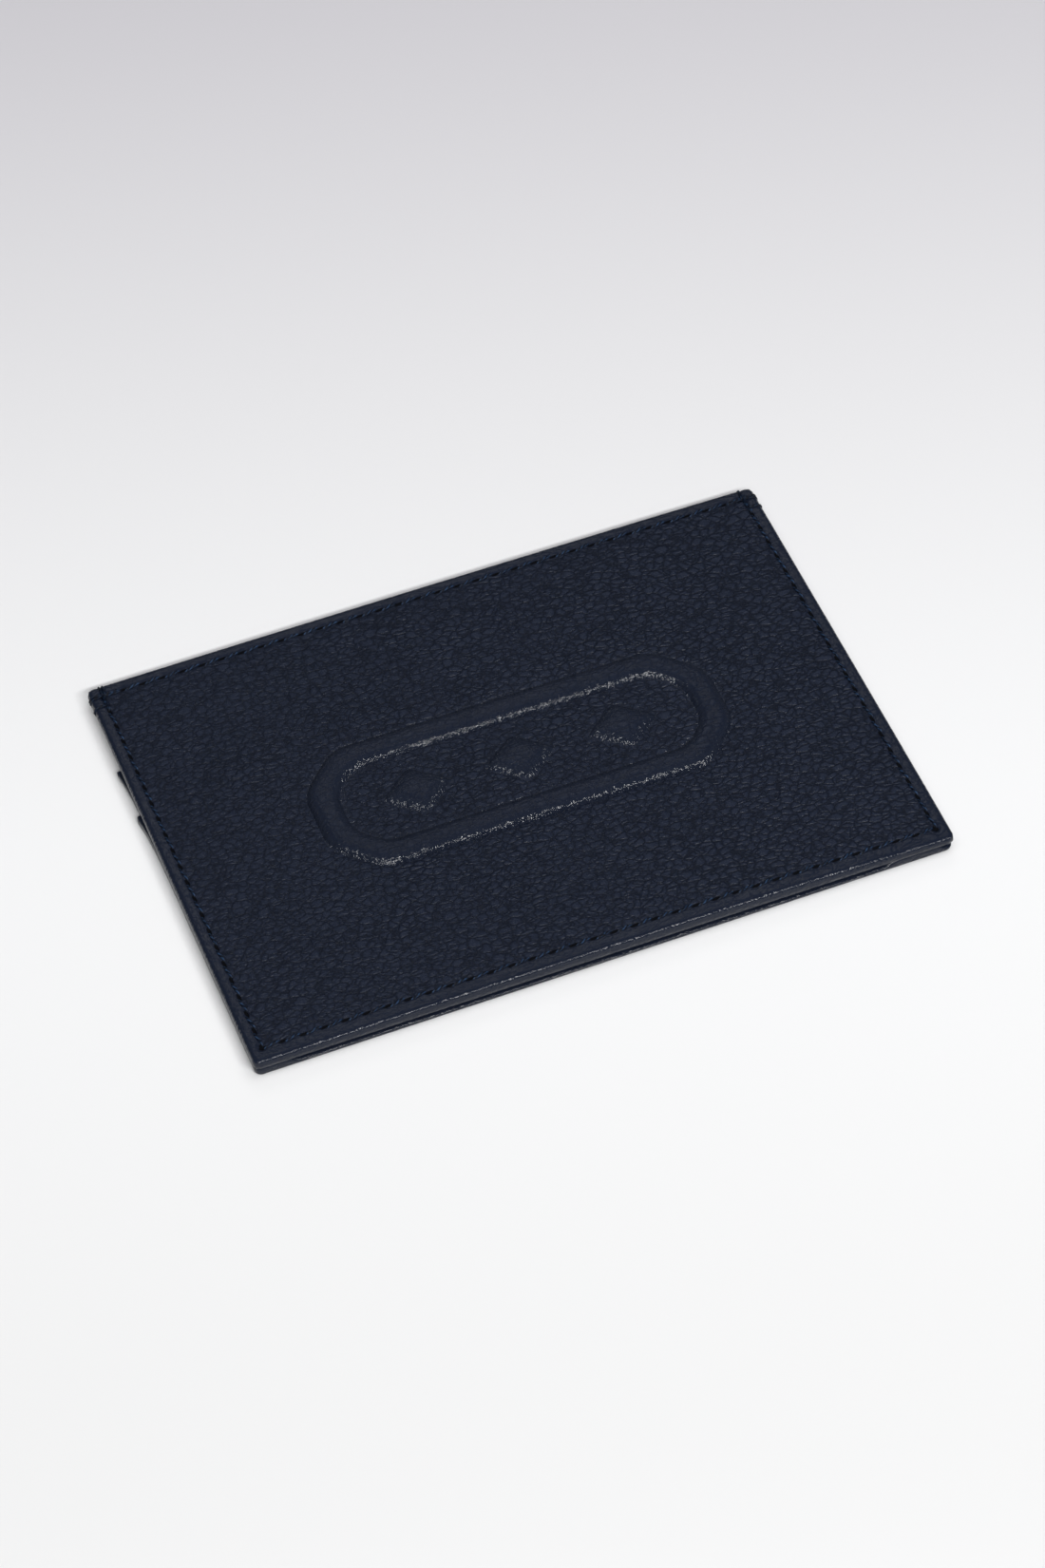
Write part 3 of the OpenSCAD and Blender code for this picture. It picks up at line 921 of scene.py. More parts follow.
    def _mark_rim(self, bm: bmesh.types.BMesh, panel: LeatherPanel, angle: float) -> None:
        """Marks the newest ring: calm grain all round, pulled most on the edge's upper shoulder."""
        calm, pull, lie = (bm.verts.layers.float[name] for name in ("calm", "pull", "lie"))
        for v, r in panel.rim.items():
            v[calm], v[lie] = 1.0, r.out.x ** 2
            v[pull] = 0.55 * bell(angle - 0.78, 0.45)

    def _rim(self, r: RimPoint, angle: float, h: float) -> Vector:
        """Point of the rounded edge, which is fuller along the closed edge and nipped under a tack."""
        p = self.plan
        top = p.front_top + p.swell(r.x, r.y)
        near = 1 - smooth(0.5 * MM, 10 * MM, r.y - p.closed_y)
        low = p.front_bottom - 0.30 * MM * near
        middle = (top + low) / 2
        rise, reach = math.cos(angle), abs(math.sin(angle)) ** self.rim_square
        z = middle + (top - middle) * math.copysign(abs(rise) ** self.rim_square, rise)
        nip = 0.0
        if r.side is Side.FLANK:
            nip = max(bell(r.y - y, 0.4 * MM) for y in (p.seam_mouth_y, p.seam_mouth_y - 2 * MM))
        elif r.side is Side.MOUTH:
            nip = bell(abs(r.x) - p.seam_x, 0.4 * MM)
        ruck = 0.02 * MM * noise.noise(Vector((r.x, r.y, z)) / (0.9 * MM))
        out = (h + ruck) * reach - 0.20 * MM * nip * reach * reach
        return Vector((r.x + r.out.x * out, r.y + r.out.y * out, z))

    def build_padding(self, felt: Fibre) -> bpy.types.Object:
        """The felt under the motif: a frame and lozenges with softened upper edges."""
        m = self.motif
        skin = 0.75 * MM
        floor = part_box("motif_padding")[0].z
        bm = bmesh.new()
        for outline, ring in self._padding_outlines(skin):
            made = bmesh.ops.create_circle(bm, cap_ends=True, segments=len(outline), radius=MM)
            verts = made["verts"]
            for v, (x, y) in zip(verts, outline):
                v.co = (m.centre[0] + x, m.centre[1] + y, floor)
            face = verts[0].link_faces[0]
            faces = [face]
            if ring:
                walls = bmesh.ops.inset_region(
                    bm, faces=[face], thickness=m.ridge - 2 * skin, use_even_offset=True)
                faces = walls["faces"]
                bmesh.ops.delete(bm, geom=[face], context="FACES")
            up = bmesh.ops.extrude_face_region(bm, geom=faces)["geom"]
            lids = [g for g in up if isinstance(g, bmesh.types.BMFace)]
            for v in (g for g in up if isinstance(g, bmesh.types.BMVert)):
                v.co.z += m.rise
            rims = {e for f in lids for e in f.edges if sum(g in lids for g in e.link_faces) == 1}
            bmesh.ops.bevel(
                bm, geom=list(rims), offset=0.55 * MM, offset_type="OFFSET", segments=4, profile=0.5,
                affect="EDGES", material=-1)
        bmesh.ops.recalc_face_normals(bm, faces=bm.faces)
        piece = finish_piece(bm, "motif_felt", felt.material(), ["motif_padding"])
        return piece

    def _padding_outlines(self, skin: float) -> list[tuple[list[tuple[float, float]], bool]]:
        """Outlines of the felt pieces, each with whether it is a ring."""
        m = self.motif
        x, y = m.width / 2 - skin, m.height / 2 - skin
        c = m.chamfer - skin * (2 - math.sqrt(2))
        octagon = [
            (x, y - c), (x - c, y), (-x + c, y), (-x, y - c),
            (-x, -y + c), (-x + c, -y), (x - c, -y), (x, -y + c)]
        slope = math.hypot(m.lozenge_w, m.lozenge_h)
        a = m.lozenge_w / 2 - skin * slope / m.lozenge_h
        b = m.lozenge_h / 2 - skin * slope / m.lozenge_w
        found = [(octagon, True)]
        for i in range(m.lozenges):
            dx = (i - (m.lozenges - 1) / 2) * m.step
            found.append(([(dx + a, 0), (dx, b), (dx - a, 0), (dx, -b)], False))
        return found


# --------------------------------------------------------------------------- back panel and pockets


@dataclass
class BackPanel:
    """The back cover and the two card pockets on its outside."""

    plan: Plan
    leather: Leather
    wrap: float = 0.8 * MM
    round_r: float = 0.4 * MM
    pocket_t: float = 0.45 * MM
    coarse: float = 0.5 * MM
    fine: float = 0.28 * MM

    def _lines(self, half: float, y0: float, y1: float) -> tuple[list[float], list[float]]:
        """Grid lines of a panel on the back, closer at its edges."""
        zone = 3 * MM
        xs = grid_lines([(-half, zone - half, self.fine), (zone - half, half - zone, self.coarse),
                         (half - zone, half, self.fine)])
        ys = grid_lines([(y0, y0 + zone, self.fine), (y0 + zone, y1 - zone, self.coarse),
                         (y1 - zone, y1, self.fine)])
        return xs, ys

    def _dent(self, x: float, y: float, rows: Sequence[tuple[bool, float, float, float]]) -> float:
        """How deep the bobbin thread's seams sit at a point: along X or not, offset, from, to."""
        deep = 0.0
        for along_x, offset, start, end in rows:
            along, across = (x, y - offset) if along_x else (y, abs(x) - offset)
            if start - 0.3 * MM < along < end + 0.3 * MM:
                deep = max(deep, 0.24 * MM * bell(across, 0.36 * MM))
        return deep

    def _mark_calm(self, bm: bmesh.types.BMesh, mouth: float) -> None:
        """Marks the calm grain along the side edges and the crease line under a mouth."""
        calm = bm.verts.layers.float["calm"]
        for v in bm.verts:
            edge = min(self.plan.seam_x - abs(v.co.x), v.co.y - self.plan.seam_closed_y)
            v[calm] = max(
                1 - smooth(-0.5 * MM, 0.4 * MM, edge), 1 - smooth(0.8 * MM, 1.8 * MM, mouth - v.co.y))

    def build_cover(self) -> bpy.types.Object:
        """The back cover, with its hem turned in towards the lining."""
        p = self.plan
        h = (p.back_high - p.back_low) / 2
        bx, y0, y1 = p.back_half_w - h, p.back_closed_y + h, p.mouth_y - h
        xs, ys = self._lines(bx, y0, y1)
        panel = LeatherPanel(bx, y0, y1, 1.4 * MM, 2 * MM - h, xs, ys)
        rows = ((True, p.seam_mouth_y, -p.seam_x, p.seam_x), (False, p.seam_x, p.upper_y, p.mouth_y))
        bm = panel.face(lambda x, y: p.back_low + self._dent(x, y, rows))
        self._mark_calm(bm, p.mouth_y)
        middle = p.back_low + h
        for k in range(1, 9):
            a = math.pi * k / 8
            panel.carry(bm, lambda r, _z, a=a: Vector((
                r.x + r.out.x * h * math.sin(a), r.y + r.out.y * h * math.sin(a), middle - h * math.cos(a))))
        for d, z in ((5.7 * MM, 0.0), (5.7 * MM, 0.12 * MM), (0.7 * MM, 0.12 * MM), (0.7 * MM, 0.22 * MM)):
            panel.carry(bm, lambda r, _z, d=d, z=z: panel.inward(r, d, p.back_high - z))
        panel.close(bm)
        return finish_piece(
            bm, "back_cover_grained", self.leather.material(), ["back_cover"])

    def _flare(self, y: float, mouth: float) -> float:
        """How far a pocket's side edge stands out below its mouth."""
        below = mouth - y
        return 0.78 * MM * math.exp(-max(0.0, below) / (3.4 * MM)) * smooth(-0.2 * MM, 0.7 * MM, below)

    def _sag(self, x: float) -> float:
        """How far the turned-up closed edge sinks away from the front panel, from 0 to 1."""
        left = smooth(-46.5 * MM, -42.5 * MM, x)
        right = 1 - smooth(39.5 * MM, 42 * MM, x) * (1 - smooth(47.5 * MM, 49 * MM, x))
        return left * right * (0.88 + 0.12 * noise.noise(Vector((x / (9 * MM), 1.3, 0.2))))

    def _pocket_rings(
        self, low: float, mouth: float, wall_from: float,
    ) -> list[Callable[[RimPoint, float], Vector]]:
        """Places of the rings that carry a pocket's outline round the back panel and over its mouth.

        Args:
            low: z of the pocket's outside.
            mouth: y of the pocket's mouth.
            wall_from: the side edges are turned up only above this y.

        Returns:
            One placing function for each ring.
        """
        e, t = self.round_r, self.pocket_t
        top = self.plan.back_high - low
        wall = [(e * math.sin(a), e - e * math.cos(a)) for a in (math.pi * k / 8 for k in (1, 2, 3, 4))]
        wall += [(e * math.cos(a), top - e + e * math.sin(a)) for a in (math.pi * k / 8 for k in range(5))]
        wall += [(-(self.wrap - e), top), (-(self.wrap - e), t)]
        turns = [math.pi * k / 9 for k in range(1, 10)]
        fold = [(t / 2 * math.sin(a), t / 2 - t / 2 * math.cos(a)) for a in turns]
        fold += [(-0.05 * MM, t), (-0.10 * MM, t)]

        def placer(k: int) -> Callable[[RimPoint, float], Vector]:
            """The placing function of ring k."""

            def place(r: RimPoint, _z: float) -> Vector:
                """Position of a rim point's vertex in this ring."""
                turned = r.side is not Side.MOUTH and r.y > wall_from
                out, up = wall[k] if turned else fold[k]
                if turned and r.side is Side.CLOSED and up > e:
                    up -= 0.74 * MM * self._sag(r.x) * smooth(e, top, up)
                    out += 0.10 * MM * math.sin(math.pi * min(1.0, up / MM))
                if turned and r.side is Side.FLANK and out > 0:
                    out += self._flare(r.y, mouth)
                ruck = 0.02 * MM * noise.noise(Vector((r.x, r.y, up)) / (0.8 * MM)) if out > 0 else 0.0
                return Vector((r.x + r.out.x * (out + ruck), r.y + r.out.y * (out + ruck), low + up))

            return place

        return [placer(k) for k in range(len(wall))]

    def build_lower(self) -> bpy.types.Object:
        """The lower card pocket, turned up round the closed edge and the sides."""
        p = self.plan
        bx, y0 = p.under_half_w - self.round_r, p.under_closed_y + self.round_r
        y1 = p.lower_y - self.pocket_t / 2
        xs, ys = self._lines(bx, y0, y1)
        panel = LeatherPanel(bx, y0, y1, 0.6 * MM, 0.4 * MM, xs, ys)
        rows = ((True, p.seam_closed_y, -p.seam_x, p.seam_x), (False, p.seam_x, p.seam_closed_y, p.lower_y))
        bm = panel.face(lambda x, y: self._dent(x, y, rows) + self._mouth_crease(y, p.lower_y))
        self._mark_calm(bm, p.lower_y)
        for place in self._pocket_rings(0.0, p.lower_y, -1.0):
            panel.carry(bm, place)
        panel.close(bm)
        return finish_piece(
            bm, "lower_pocket_grained", self.leather.material(), ["lower_card_pocket"])

    def _mouth_crease(self, y: float, mouth: float) -> float:
        """Depth of the heated crease line that runs along a pocket's mouth."""
        return 0.09 * MM * bell(mouth - y - 1.5 * MM, 0.28 * MM)

    def build_upper(self) -> bpy.types.Object:
        """The upper card pocket: turned up round the sides where it shows, narrower below."""
        p = self.plan
        low = p.upper_low
        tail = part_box("upper_card_pocket")[0].y
        bx, y0, y1 = p.under_half_w - self.round_r, tail, p.upper_y - self.pocket_t / 2
        xs, _ = self._lines(bx, y0, y1)
        waist, step = p.lower_y - 4 * MM, p.lower_y + 0.05 * MM
        ys = grid_lines([(y0, waist, self.coarse), (waist, step, self.coarse), (step, y1, self.fine)])
        panel = LeatherPanel(bx, y0, y1, 0.3 * MM, 0.4 * MM, xs, ys)
        rows = ((False, p.seam_x, p.lower_y, p.upper_y),)
        bm = panel.face(lambda x, y: low + self._dent(x, y, rows) + self._mouth_crease(y, p.upper_y))
        self._mark_calm(bm, p.upper_y)
        arm, stem = p.back_half_w - 0.05 * MM, 45 * MM
        for v in bm.verts:
            if v.co.y < p.lower_y:
                limit = arm if v.co.y > p.lower_y - 4.01 * MM else stem
                v.co.x *= min(1.0, limit / bx)
        for v, r in panel.rim.items():
            r.x = v.co.x
        for place in self._pocket_rings(low, p.upper_y, p.lower_y):
            panel.carry(bm, place)
        panel.close(bm)
        return finish_piece(
            bm, "upper_pocket_grained", self.leather.material(), ["upper_card_pocket"])


# --------------------------------------------------------------------------- stitching


@dataclass
class Strand:
    """Lays thread of two twisted plies along paths, with a map of turns round and length."""

    radius: float
    sides: int = 8
    lay: float = 1.0 * MM
    lobe: float = 0.14

    def add(self, bm: bmesh.types.BMesh, path: Sequence[Vector], taper: float = 0.75) -> None:
        """Adds one length of thread.

        Args:
            bm: the mesh that it is added to.
            path: points of its centreline.
            taper: the ends' share of the radius.
        """
        part = bmesh.new()
        uv = part.loops.layers.uv.new("strand")
        ring = bmesh.ops.create_circle(
            part, cap_ends=True, segments=self.sides, radius=self.radius)["verts"]
        where: dict[bmesh.types.BMVert, tuple[int, float]] = {}
        travelled = 0.0
        for k, point in enumerate(path):
            if k:
                travelled += (point - path[k - 1]).length
                edges = [e for e in part.edges if all(v in ring for v in e.verts)]
                made = bmesh.ops.extrude_edge_only(part, edges=edges)["geom"]
                fresh = {g for g in made if isinstance(g, bmesh.types.BMVert)}
                order = {
                    where[e.other_vert(v)][0]: v
                    for v in fresh for e in v.link_edges if e.other_vert(v) in where}
                ring = [order[i] for i in range(self.sides)]
            ahead = path[min(k + 1, len(path) - 1)] - path[max(k - 1, 0)]
            size = taper if k in (0, len(path) - 1) else 1.0
            self._place_ring(ring, point, ahead, travelled, size)
            for i, v in enumerate(ring):
                where[v] = (i, travelled)
        bmesh.ops.edgeloop_fill(part, edges=[e for e in part.edges if all(v in ring for v in e.verts)])
        self._map(part, uv, where)
        bmesh.ops.recalc_face_normals(part, faces=part.faces)
        mesh = bpy.data.meshes.new("strand")
        part.to_mesh(mesh)
        part.free()
        bm.from_mesh(mesh)
        bpy.data.meshes.remove(mesh)

    def _place_ring(
        self, ring: Sequence, point: Vector, ahead: Vector, travelled: float, size: float,
    ) -> None:
        """Puts one ring of vertices square to the path, its two plies' outline turned by the lay."""
        z = ahead.normalized()
        x = z.cross(Vector((0.13, 0.21, 1.0)) if abs(z.z) < 0.9 else Vector((0, 1, 0))).normalized()
        y = z.cross(x)
        turn = 2 * math.pi * travelled / self.lay
        for i, v in enumerate(ring):
            angle = 2 * math.pi * i / self.sides
            r = self.radius * size * (1 - self.lobe + self.lobe * math.cos(2 * angle - turn))
            v.co = point + (x * math.cos(angle) + y * math.sin(angle)) * r

    def _map(self, part: bmesh.types.BMesh, uv: object, where: dict) -> None:
        """Writes turns round and millimetres along into the map."""
        for f in part.faces:
            sides = [where[loop.vert][0] for loop in f.loops]
            wraps = max(sides) - min(sides) > self.sides / 2
            for loop in f.loops:
                i, along = where[loop.vert]
                if wraps and i == 0:
                    i = self.sides
                loop[uv].uv = (i / self.sides - along / self.lay / 2, along / MM)


@dataclass
class Stitching:
    """All the visible seams: stitches on the front, bobbin thread on the back, and corner tacks."""

    plan: Plan
    thread: Thread
    # tack_thread is the same thread with a darker glint colour: painted shade for the clustered tack loops.
    tack_thread: Thread
    surface: Callable[[float, float], float]
    seed: int = 7
    crease_deg: float = 80.0

    def __post_init__(self) -> None:
        """Makes the finish, and the source of the small differences between stitches."""
        self.material = self.thread.material()
        self.tack_material = self.tack_thread.material()
        self.luck = random.Random(self.seed)

    def _stitch(
        self, strand: Strand, bm: bmesh.types.BMesh, a: Vector, b: Vector,
        face: Callable[[float, float], float], up: float, arch: float, slant: float,
    ) -> None:
        """Lays one stitch between two needle holes.

        Args:
            strand: the thread.
            bm: the mesh that it is added to.
            a: first hole, in plan.
            b: second hole, in plan.
            face: z of the leather's surface at a point.
            up: 1 on the front, -1 on the back.
            arch: height of the stitch's middle line over the leather.
            slant: how far its ends lie to the sides of the seam.
        """
        run = b - a
        side = Vector((-run.y, run.x, 0)).normalized()
        gap = 0.20 * MM + self.luck.uniform(-0.04, 0.05) * MM
        start, end = gap / run.length, 1 - gap / run.length
        lean = slant * self.luck.uniform(0.8, 1.2)
        tight = self.luck.uniform(0.92, 1.06)
        points = []
        steps, sink = 10, 0.26 * MM
        for k in range(steps + 1):
            t = k / steps
            s = start + (end - start) * t
            flat = a + run * s + side * lean * math.sin(math.pi * (t - 0.5)) * 0.9
            rise = math.sin(math.pi * t) ** 0.55
            z = face(flat.x, flat.y) + up * ((arch * tight + sink) * rise - sink)
            points.append(Vector((flat.x, flat.y, z)))
        strand.add(bm, points)

    def _row(
        self, strand: Strand, bm: bmesh.types.BMesh, start: Vector, end: Vector, count: int,
        face: Callable[[float, float], float], up: float = 1.0, arch: float = 0.13 * MM,
        slant: float = 0.26 * MM,
    ) -> None:
        """Lays a straight row of stitches."""
        for i in range(count):
            a, b = start.lerp(end, i / count), start.lerp(end, (i + 1) / count)
            self._stitch(strand, bm, a, b, face, up, arch, slant)

    def build_front(self) -> list[bpy.types.Object]:
        """Needle thread on the front: the mouth row, and the side and closed seams."""
        p = self.plan
        strand = Strand(p.needle_d * 0.50, lay=1.3 * MM, lobe=0.24)
        mouth_l, mouth_r = Vector((-p.seam_x, p.seam_mouth_y, 0)), Vector((p.seam_x, p.seam_mouth_y, 0))
        closed_l, closed_r = Vector((-p.seam_x, p.seam_closed_y, 0)), Vector((p.seam_x, p.seam_closed_y, 0))
        row = bmesh.new()
        self._row(strand, row, mouth_l, mouth_r, p.across_count, self.surface)
        seams = bmesh.new()
        self._row(strand, seams, closed_l, closed_r, p.across_count, self.surface)
        self._row(strand, seams, closed_l, mouth_l, p.side_count, self.surface, slant=0.24 * MM)
        self._row(strand, seams, closed_r, mouth_r, p.side_count, self.surface, slant=0.24 * MM)
        return [
            finish_piece(
                row, "mouth_stitches", self.material, ["front_mouth_thread"], self.crease_deg),
            finish_piece(seams, "seam_stitches", self.material, ["needle_thread"], self.crease_deg),
        ]

    def build_back(self) -> list[bpy.types.Object]:
        """Bobbin thread on the back, on whichever leather is outermost."""
        p = self.plan
        strand = Strand(p.bobbin_d / 2)
        half = p.bobbin_d / 2
        seams = bmesh.new()

        def level(z: float) -> Callable[[float, float], float]:
            """A flat surface at z."""
            return lambda _x, _y: z

        low = level(half)
        flat = 0.0
        closed_l, closed_r = Vector((-p.seam_x, p.seam_closed_y, 0)), Vector((p.seam_x, p.seam_closed_y, 0))
        self._row(strand, seams, closed_l, closed_r, p.across_count, low, -1.0, flat)
        pitch = (p.seam_mouth_y - p.seam_closed_y) / p.side_count
        for x in (-p.seam_x, p.seam_x):
            for i in range(p.side_count):
                a = Vector((x, p.seam_closed_y + i * pitch, 0))
                b = a + Vector((0, pitch, 0))
                middle = (a.y + b.y) / 2
                if middle < p.lower_y - 0.3 * pitch:
                    z = half
                elif middle < p.upper_y - 0.3 * pitch:
                    z = p.upper_low + 0.02 * MM
                else:
                    z = p.back_low + 0.02 * MM
                self._stitch(strand, seams, a, b, level(z), -1.0, flat, 0.1 * MM)
        row = bmesh.new()
        self._row(strand, row, Vector((-p.seam_x, p.seam_mouth_y, 0)), Vector((p.seam_x, p.seam_mouth_y, 0)),
                  p.across_count, level(p.back_low + 0.05 * MM), -1.0, flat)
        return [
            finish_piece(
                seams, "bobbin_stitches", self.material, ["bobbin_thread"], self.crease_deg),
            finish_piece(
                row, "back_mouth_stitches", self.material, ["back_mouth_thread"], self.crease_deg),
        ]

    def _loop(
        self, strand: Strand, bm: bmesh.types.BMesh, hole: Vector, out: Vector, set_in: float, skew: float,
    ) -> None:
        """Lays one loop from a needle hole over the edge and back under it.

        Args:
            strand: the thread.
            bm: the mesh that it is added to.
            hole: the needle hole, in plan.
            out: direction from the hole to the edge.
            set_in: how far the back panel's edge lies inside the front's.
            skew: sideways drift of the thread between the hole and the edge.
        """
        p = self.plan
        h = (p.front_top - p.front_bottom) / 2
        middle = (p.front_top + p.front_bottom) / 2
        reach = (p.half_w if abs(out.x) > 0.5 else p.mouth_y) - abs(hole.dot(out))
        side = Vector((-out.y, out.x, 0))
        r = h + strand.radius * 0.55
        plan_z: list[tuple[float, float]] = [
            (0.0, p.front_top - 0.2 * MM), (0.22 * MM, p.front_top + 0.14 * MM)]
        plan_z += [(s * (reach - h), p.front_top + 0.15 * MM) for s in (0.45, 0.8)]
        for k in range(1, 8):
            angle = math.pi * k / 9
            plan_z.append((reach - h + (r - 0.12 * MM) * math.sin(angle), middle + r * math.cos(angle)))
        under = reach - set_in
        if set_in > 0.3 * MM:
            plan_z.append((under + 0.25 * MM, p.front_bottom - 0.25 * MM))
            plan_z.append((under + 0.12 * MM, (p.back_low + p.back_high) / 2 - 0.1 * MM))
        else:
            plan_z.append((under + 0.1 * MM, p.front_bottom - 0.1 * MM))
            plan_z.append((under + 0.12 * MM, (p.back_low + p.back_high) / 2))
        plan_z.append((under - 0.25 * MM, p.back_low - 0.12 * MM))
        plan_z.append((0.3 * MM, p.back_low - 0.13 * MM))
        plan_z.append((0.0, p.back_low + 0.2 * MM))
        points = []
        for d, z in plan_z:
            drift = side * skew * smooth(0, reach, d)
            points.append(Vector((hole.x, hole.y, 0)) + out * d + drift + Vector((0, 0, z)))
        strand.add(bm, self._eased(points))

    def _eased(self, points: list[Vector]) -> list[Vector]:
        """Points along a smooth curve through the given ones, about 0.2 mm apart."""
        out: list[Vector] = []
        ends = [points[0] * 2 - points[1], *points, points[-1] * 2 - points[-2]]
        for a, b, c, d in zip(ends, ends[1:], ends[2:], ends[3:]):
            count = max(1, round((c - b).length / (0.2 * MM)))
            for i in range(count):
                t = i / count
                out.append(0.5 * (2 * b + (c - a) * t + (2 * a - 5 * b + 4 * c - d) * t ** 2
                                  + (3 * b - a - 3 * c + d) * t ** 3))
        return [*out, points[-1]]

    def build_tack(self, sign: float) -> bpy.types.Object:
        """The back tack of one mouth corner: loops over the side edge and over the mouth edge."""
        p = self.plan
        strand = Strand(p.needle_d / 2 * 0.96, lay=1.3 * MM, lobe=0.24)
        bm = bmesh.new()
        side, mouth = Vector((sign, 0, 0)), Vector((0, 1, 0))
        set_in = p.half_w - p.back_half_w
        x, y = sign * p.seam_x, p.seam_mouth_y
        self._loop(strand, bm, Vector((x, y, 0)), side, set_in, 0.16 * MM * sign)
        self._loop(strand, bm, Vector((x, y - 0.22 * MM, 0)), side, set_in, -0.1 * MM * sign)
        self._loop(strand, bm, Vector((x, y - 2 * MM, 0)), side, set_in, 0.0)
        self._loop(strand, bm, Vector((x, y, 0)), mouth, 0.0, 0.08 * MM)
        self._loop(strand, bm, Vector((x - sign * 0.3 * MM, y - 0.1 * MM, 0)), mouth, 0.0, -0.1 * MM)
        top = self.surface(x, y - 3 * MM) + 0.1 * MM
        for dx, lift in ((0.14, 0.12), (-0.16, 0.2)):
            for a, b in ((Vector((x, y - 2.9 * MM, 0)), Vector((x, y + 0.1 * MM, 0))),
                         (Vector((x - sign * 2.8 * MM, y, 0)), Vector((x + sign * 0.1 * MM, y, 0)))):
                run = (b - a).normalized()
                off = Vector((-run.y, run.x, 0)) * dx * MM
                path = [a.lerp(b, t) + off * math.sin(math.pi * t) + Vector((
                    0, 0, top - 0.25 * MM + (0.25 + lift) * MM * math.sin(math.pi * t) ** 0.5)) for t in
                    (i / 12 for i in range(13))]
                strand.add(bm, path)
        name = "left_mouth_tack" if sign < 0 else "right_mouth_tack"
        piece_name = name.replace("_tack", "_backtack")
        return finish_piece(bm, piece_name, self.tack_material, [name], self.crease_deg)


# --------------------------------------------------------------------------- inside pieces


@dataclass
class Inside:
    """The boards, linings and tail that stay as packed, with their own finishes."""

    board: Fibre
    cloth: Cloth
    thread: Thread

    def dress(self) -> None:
        """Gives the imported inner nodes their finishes."""
        finishes = {
            "front_board": self.board.material(), "front_lining": self.cloth.material(),
            "tail_seam_thread": self.thread.material(),
        }
        finishes["back_board"] = finishes["front_board"]
        finishes["back_lining"] = finishes["upper_pocket_tail"] = finishes["front_lining"]
        for name, material in finishes.items():
            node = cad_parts[name]
            node.data.materials.clear()
            node.data.materials.append(material)
            LOG.info("%s dressed", name)


# --------------------------------------------------------------------------- studio


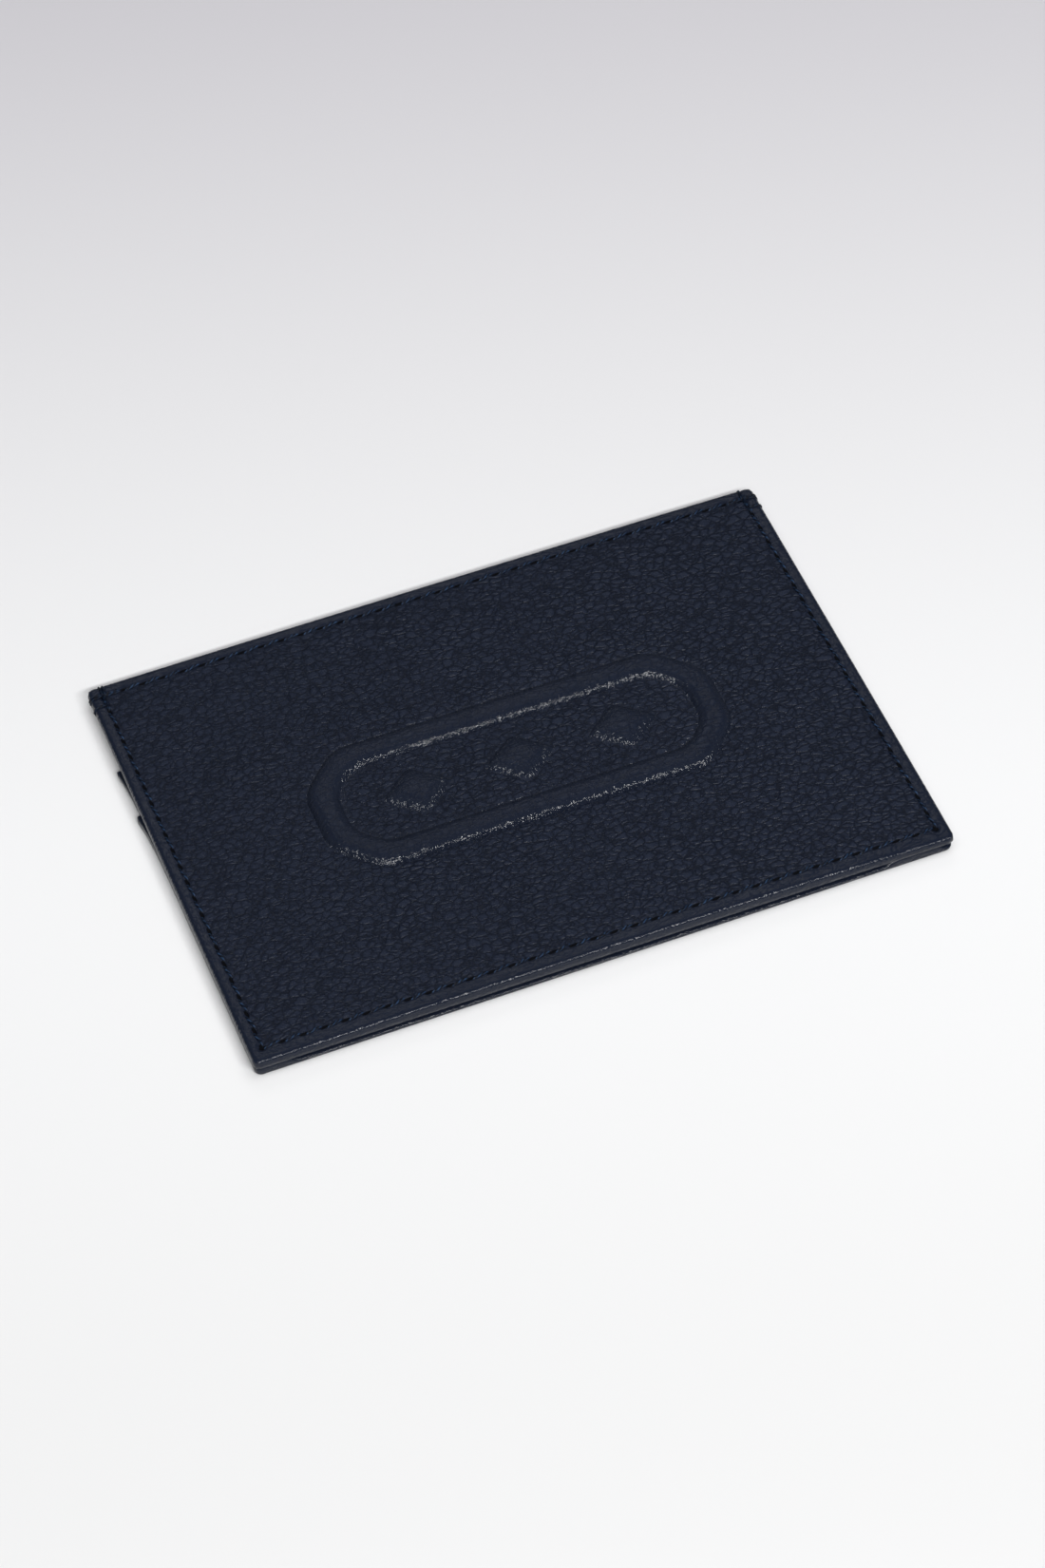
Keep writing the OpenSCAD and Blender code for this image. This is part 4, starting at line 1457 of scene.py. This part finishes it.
@dataclass
class Studio:
    """Pale floor, soft lights and the camera."""

    lens: float = 113.26
    eye: tuple[float, float, float] = (-0.14623, -0.40947, 0.51555)
    turn_deg: tuple[float, float, float] = (40.029, 1.434, -21.495)
    # The near and back floor colours are painted shade, darker than the middle as if the light fell off.
    floor_near_painted_shade: Colour = (0.760, 0.758, 0.758, 1.0)
    floor_middle: Colour = (0.838, 0.838, 0.842, 1.0)
    floor_back_painted_shade: Colour = (0.555, 0.535, 0.576, 1.0)

    def build(self) -> None:
        """Makes the whole studio."""
        self._floor()
        self._lights()
        self._camera()
        bpy.context.scene.view_settings.view_transform = "Standard"

    def _floor(self) -> None:
        """A wide pale sheet with painted shade: darker towards the back and at the near edge, as if the
        light fell off.
        """
        bm = bmesh.new()
        bmesh.ops.create_grid(bm, x_segments=2, y_segments=2, size=3.0)
        bmesh.ops.translate(bm, verts=bm.verts, vec=(0, 0, -0.00002))
        mesh = bpy.data.meshes.new("floor")
        bm.to_mesh(mesh)
        bm.free()
        floor = bpy.data.objects.new("floor", mesh)
        bpy.context.scene.collection.objects.link(floor)
        made, w, shader = new_finish("pale floor")
        turned = w.node("ShaderNodeMapping")
        w.put(turned.inputs["Vector"], w.place())
        turned.inputs["Rotation"].default_value = (0, 0, math.radians(19.65))
        depth = w.axes(turned.outputs[0])[1]
        # Painted shade: the floor darkens towards its near edge and towards the back.
        near = w.blend(w.step(depth, -0.12, 0.0), self.floor_near_painted_shade, self.floor_middle)
        back = w.step(depth, -0.02, 0.26)
        w.put(shader.inputs["Base Color"], w.blend(back, near, self.floor_back_painted_shade))
        shader.inputs["Roughness"].default_value = 0.9
        shader.inputs["Specular IOR Level"].default_value = 0.1
        mesh.materials.append(made)

    def _lights(self) -> None:
        """Three lights and an even dome.

        The overhead light only brightens, a weak light behind gives the leather its sheen, and a
        strip in front gives the glints.
        """
        self._area("overhead", (0.03, -0.09, 1.2), (1.6, 0.76), 8.5, gloss=False)
        self._area("back_soft", (0.24, 0.76, 0.90), (0.56, 0.40), 1.0)
        self._area("front_strip", (0.0, -0.84, 0.86), (0.8, 0.105), 12.0)
        world = bpy.data.worlds.new("dome")
        world.use_nodes = True
        world.node_tree.nodes["Background"].inputs[0].default_value = (0.9, 0.95, 1.0, 1)
        world.node_tree.nodes["Background"].inputs[1].default_value = 0.075
        bpy.context.scene.world = world

    def _area(
        self, name: str, at: Sequence[float], size: tuple[float, float], power: float, gloss: bool = True,
    ) -> None:
        """A rectangular soft light at a place, aimed at the middle of the floor.

        Args:
            name: name of the light.
            at: where it stands.
            size: its width and height.
            power: its power in watts.
            gloss: whether glossy surfaces mirror it; without, it only brightens.
        """
        light = bpy.data.lights.new(name, "AREA")
        light.shape = "RECTANGLE"
        light.size, light.size_y = size
        light.energy = power
        lamp = bpy.data.objects.new(name, light)
        lamp.location = at
        lamp.visible_glossy = gloss
        aim = Vector((0.0, 0.0, 0.0)) - Vector(at)
        lamp.rotation_euler = aim.to_track_quat("-Z", "Y").to_euler()
        bpy.context.scene.collection.objects.link(lamp)

    def _camera(self) -> None:
        """The camera, in front of the holder's closed edge and to its left."""
        lens = bpy.data.cameras.new("camera")
        lens.lens = self.lens
        lens.sensor_width = 36.0
        lens.clip_start, lens.clip_end = 0.01, 10.0
        camera = bpy.data.objects.new("camera", lens)
        camera.location = self.eye
        camera.rotation_euler = [math.radians(a) for a in self.turn_deg]
        bpy.context.scene.collection.objects.link(camera)
        bpy.context.scene.camera = camera


def main() -> None:
    """Builds the card holder's pieces in order, then the studio."""
    logging.basicConfig(level=logging.INFO, format="%(message)s")
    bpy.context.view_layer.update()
    plan = Plan.read()
    motif = Motif(rise=plan.motif_rise)
    across, along = 2 * plan.seam_x / MM, (plan.seam_mouth_y - plan.seam_closed_y) / MM
    middle = (plan.seam_mouth_y + plan.seam_closed_y) / 2 / MM
    across_pitch, side_pitch = across / plan.across_count, along / plan.side_count
    holes = (
        SeamHoles(True, 0.0, plan.seam_mouth_y / MM, across, across_pitch),
        SeamHoles(True, 0.0, plan.seam_closed_y / MM, across, across_pitch),
        SeamHoles(False, middle, plan.seam_x / MM, along, side_pitch),
        SeamHoles(False, middle, -plan.seam_x / MM, along, side_pitch),
    )
    front = FrontPanel(plan, motif, Leather("front leather", seams=holes))
    front.build()
    front.build_padding(Fibre("felt", (0.42, 0.40, 0.35, 1), (0.62, 0.60, 0.54, 1), 0.12 * MM))
    back = BackPanel(plan, Leather("pocket leather", seams=holes))
    back.build_cover()
    back.build_upper()
    back.build_lower()
    thread = Thread("navy thread")
    # The tacks get a darker copy of the thread: painted shade for their clustered loops.
    tacks = Thread("shade-darkened navy thread", light=(0.0085, 0.0200, 0.0460, 1.0))
    stitching = Stitching(plan, thread, tacks, front.height)
    stitching.build_front()
    stitching.build_back()
    for sign in (-1.0, 1.0):
        stitching.build_tack(sign)
    board = Fibre("bonded board", (0.24, 0.19, 0.13, 1), (0.42, 0.36, 0.28, 1))
    Inside(board, Cloth("lining cloth"), thread).dress()
    Studio().build()


if __name__ == "__main__":
    main()
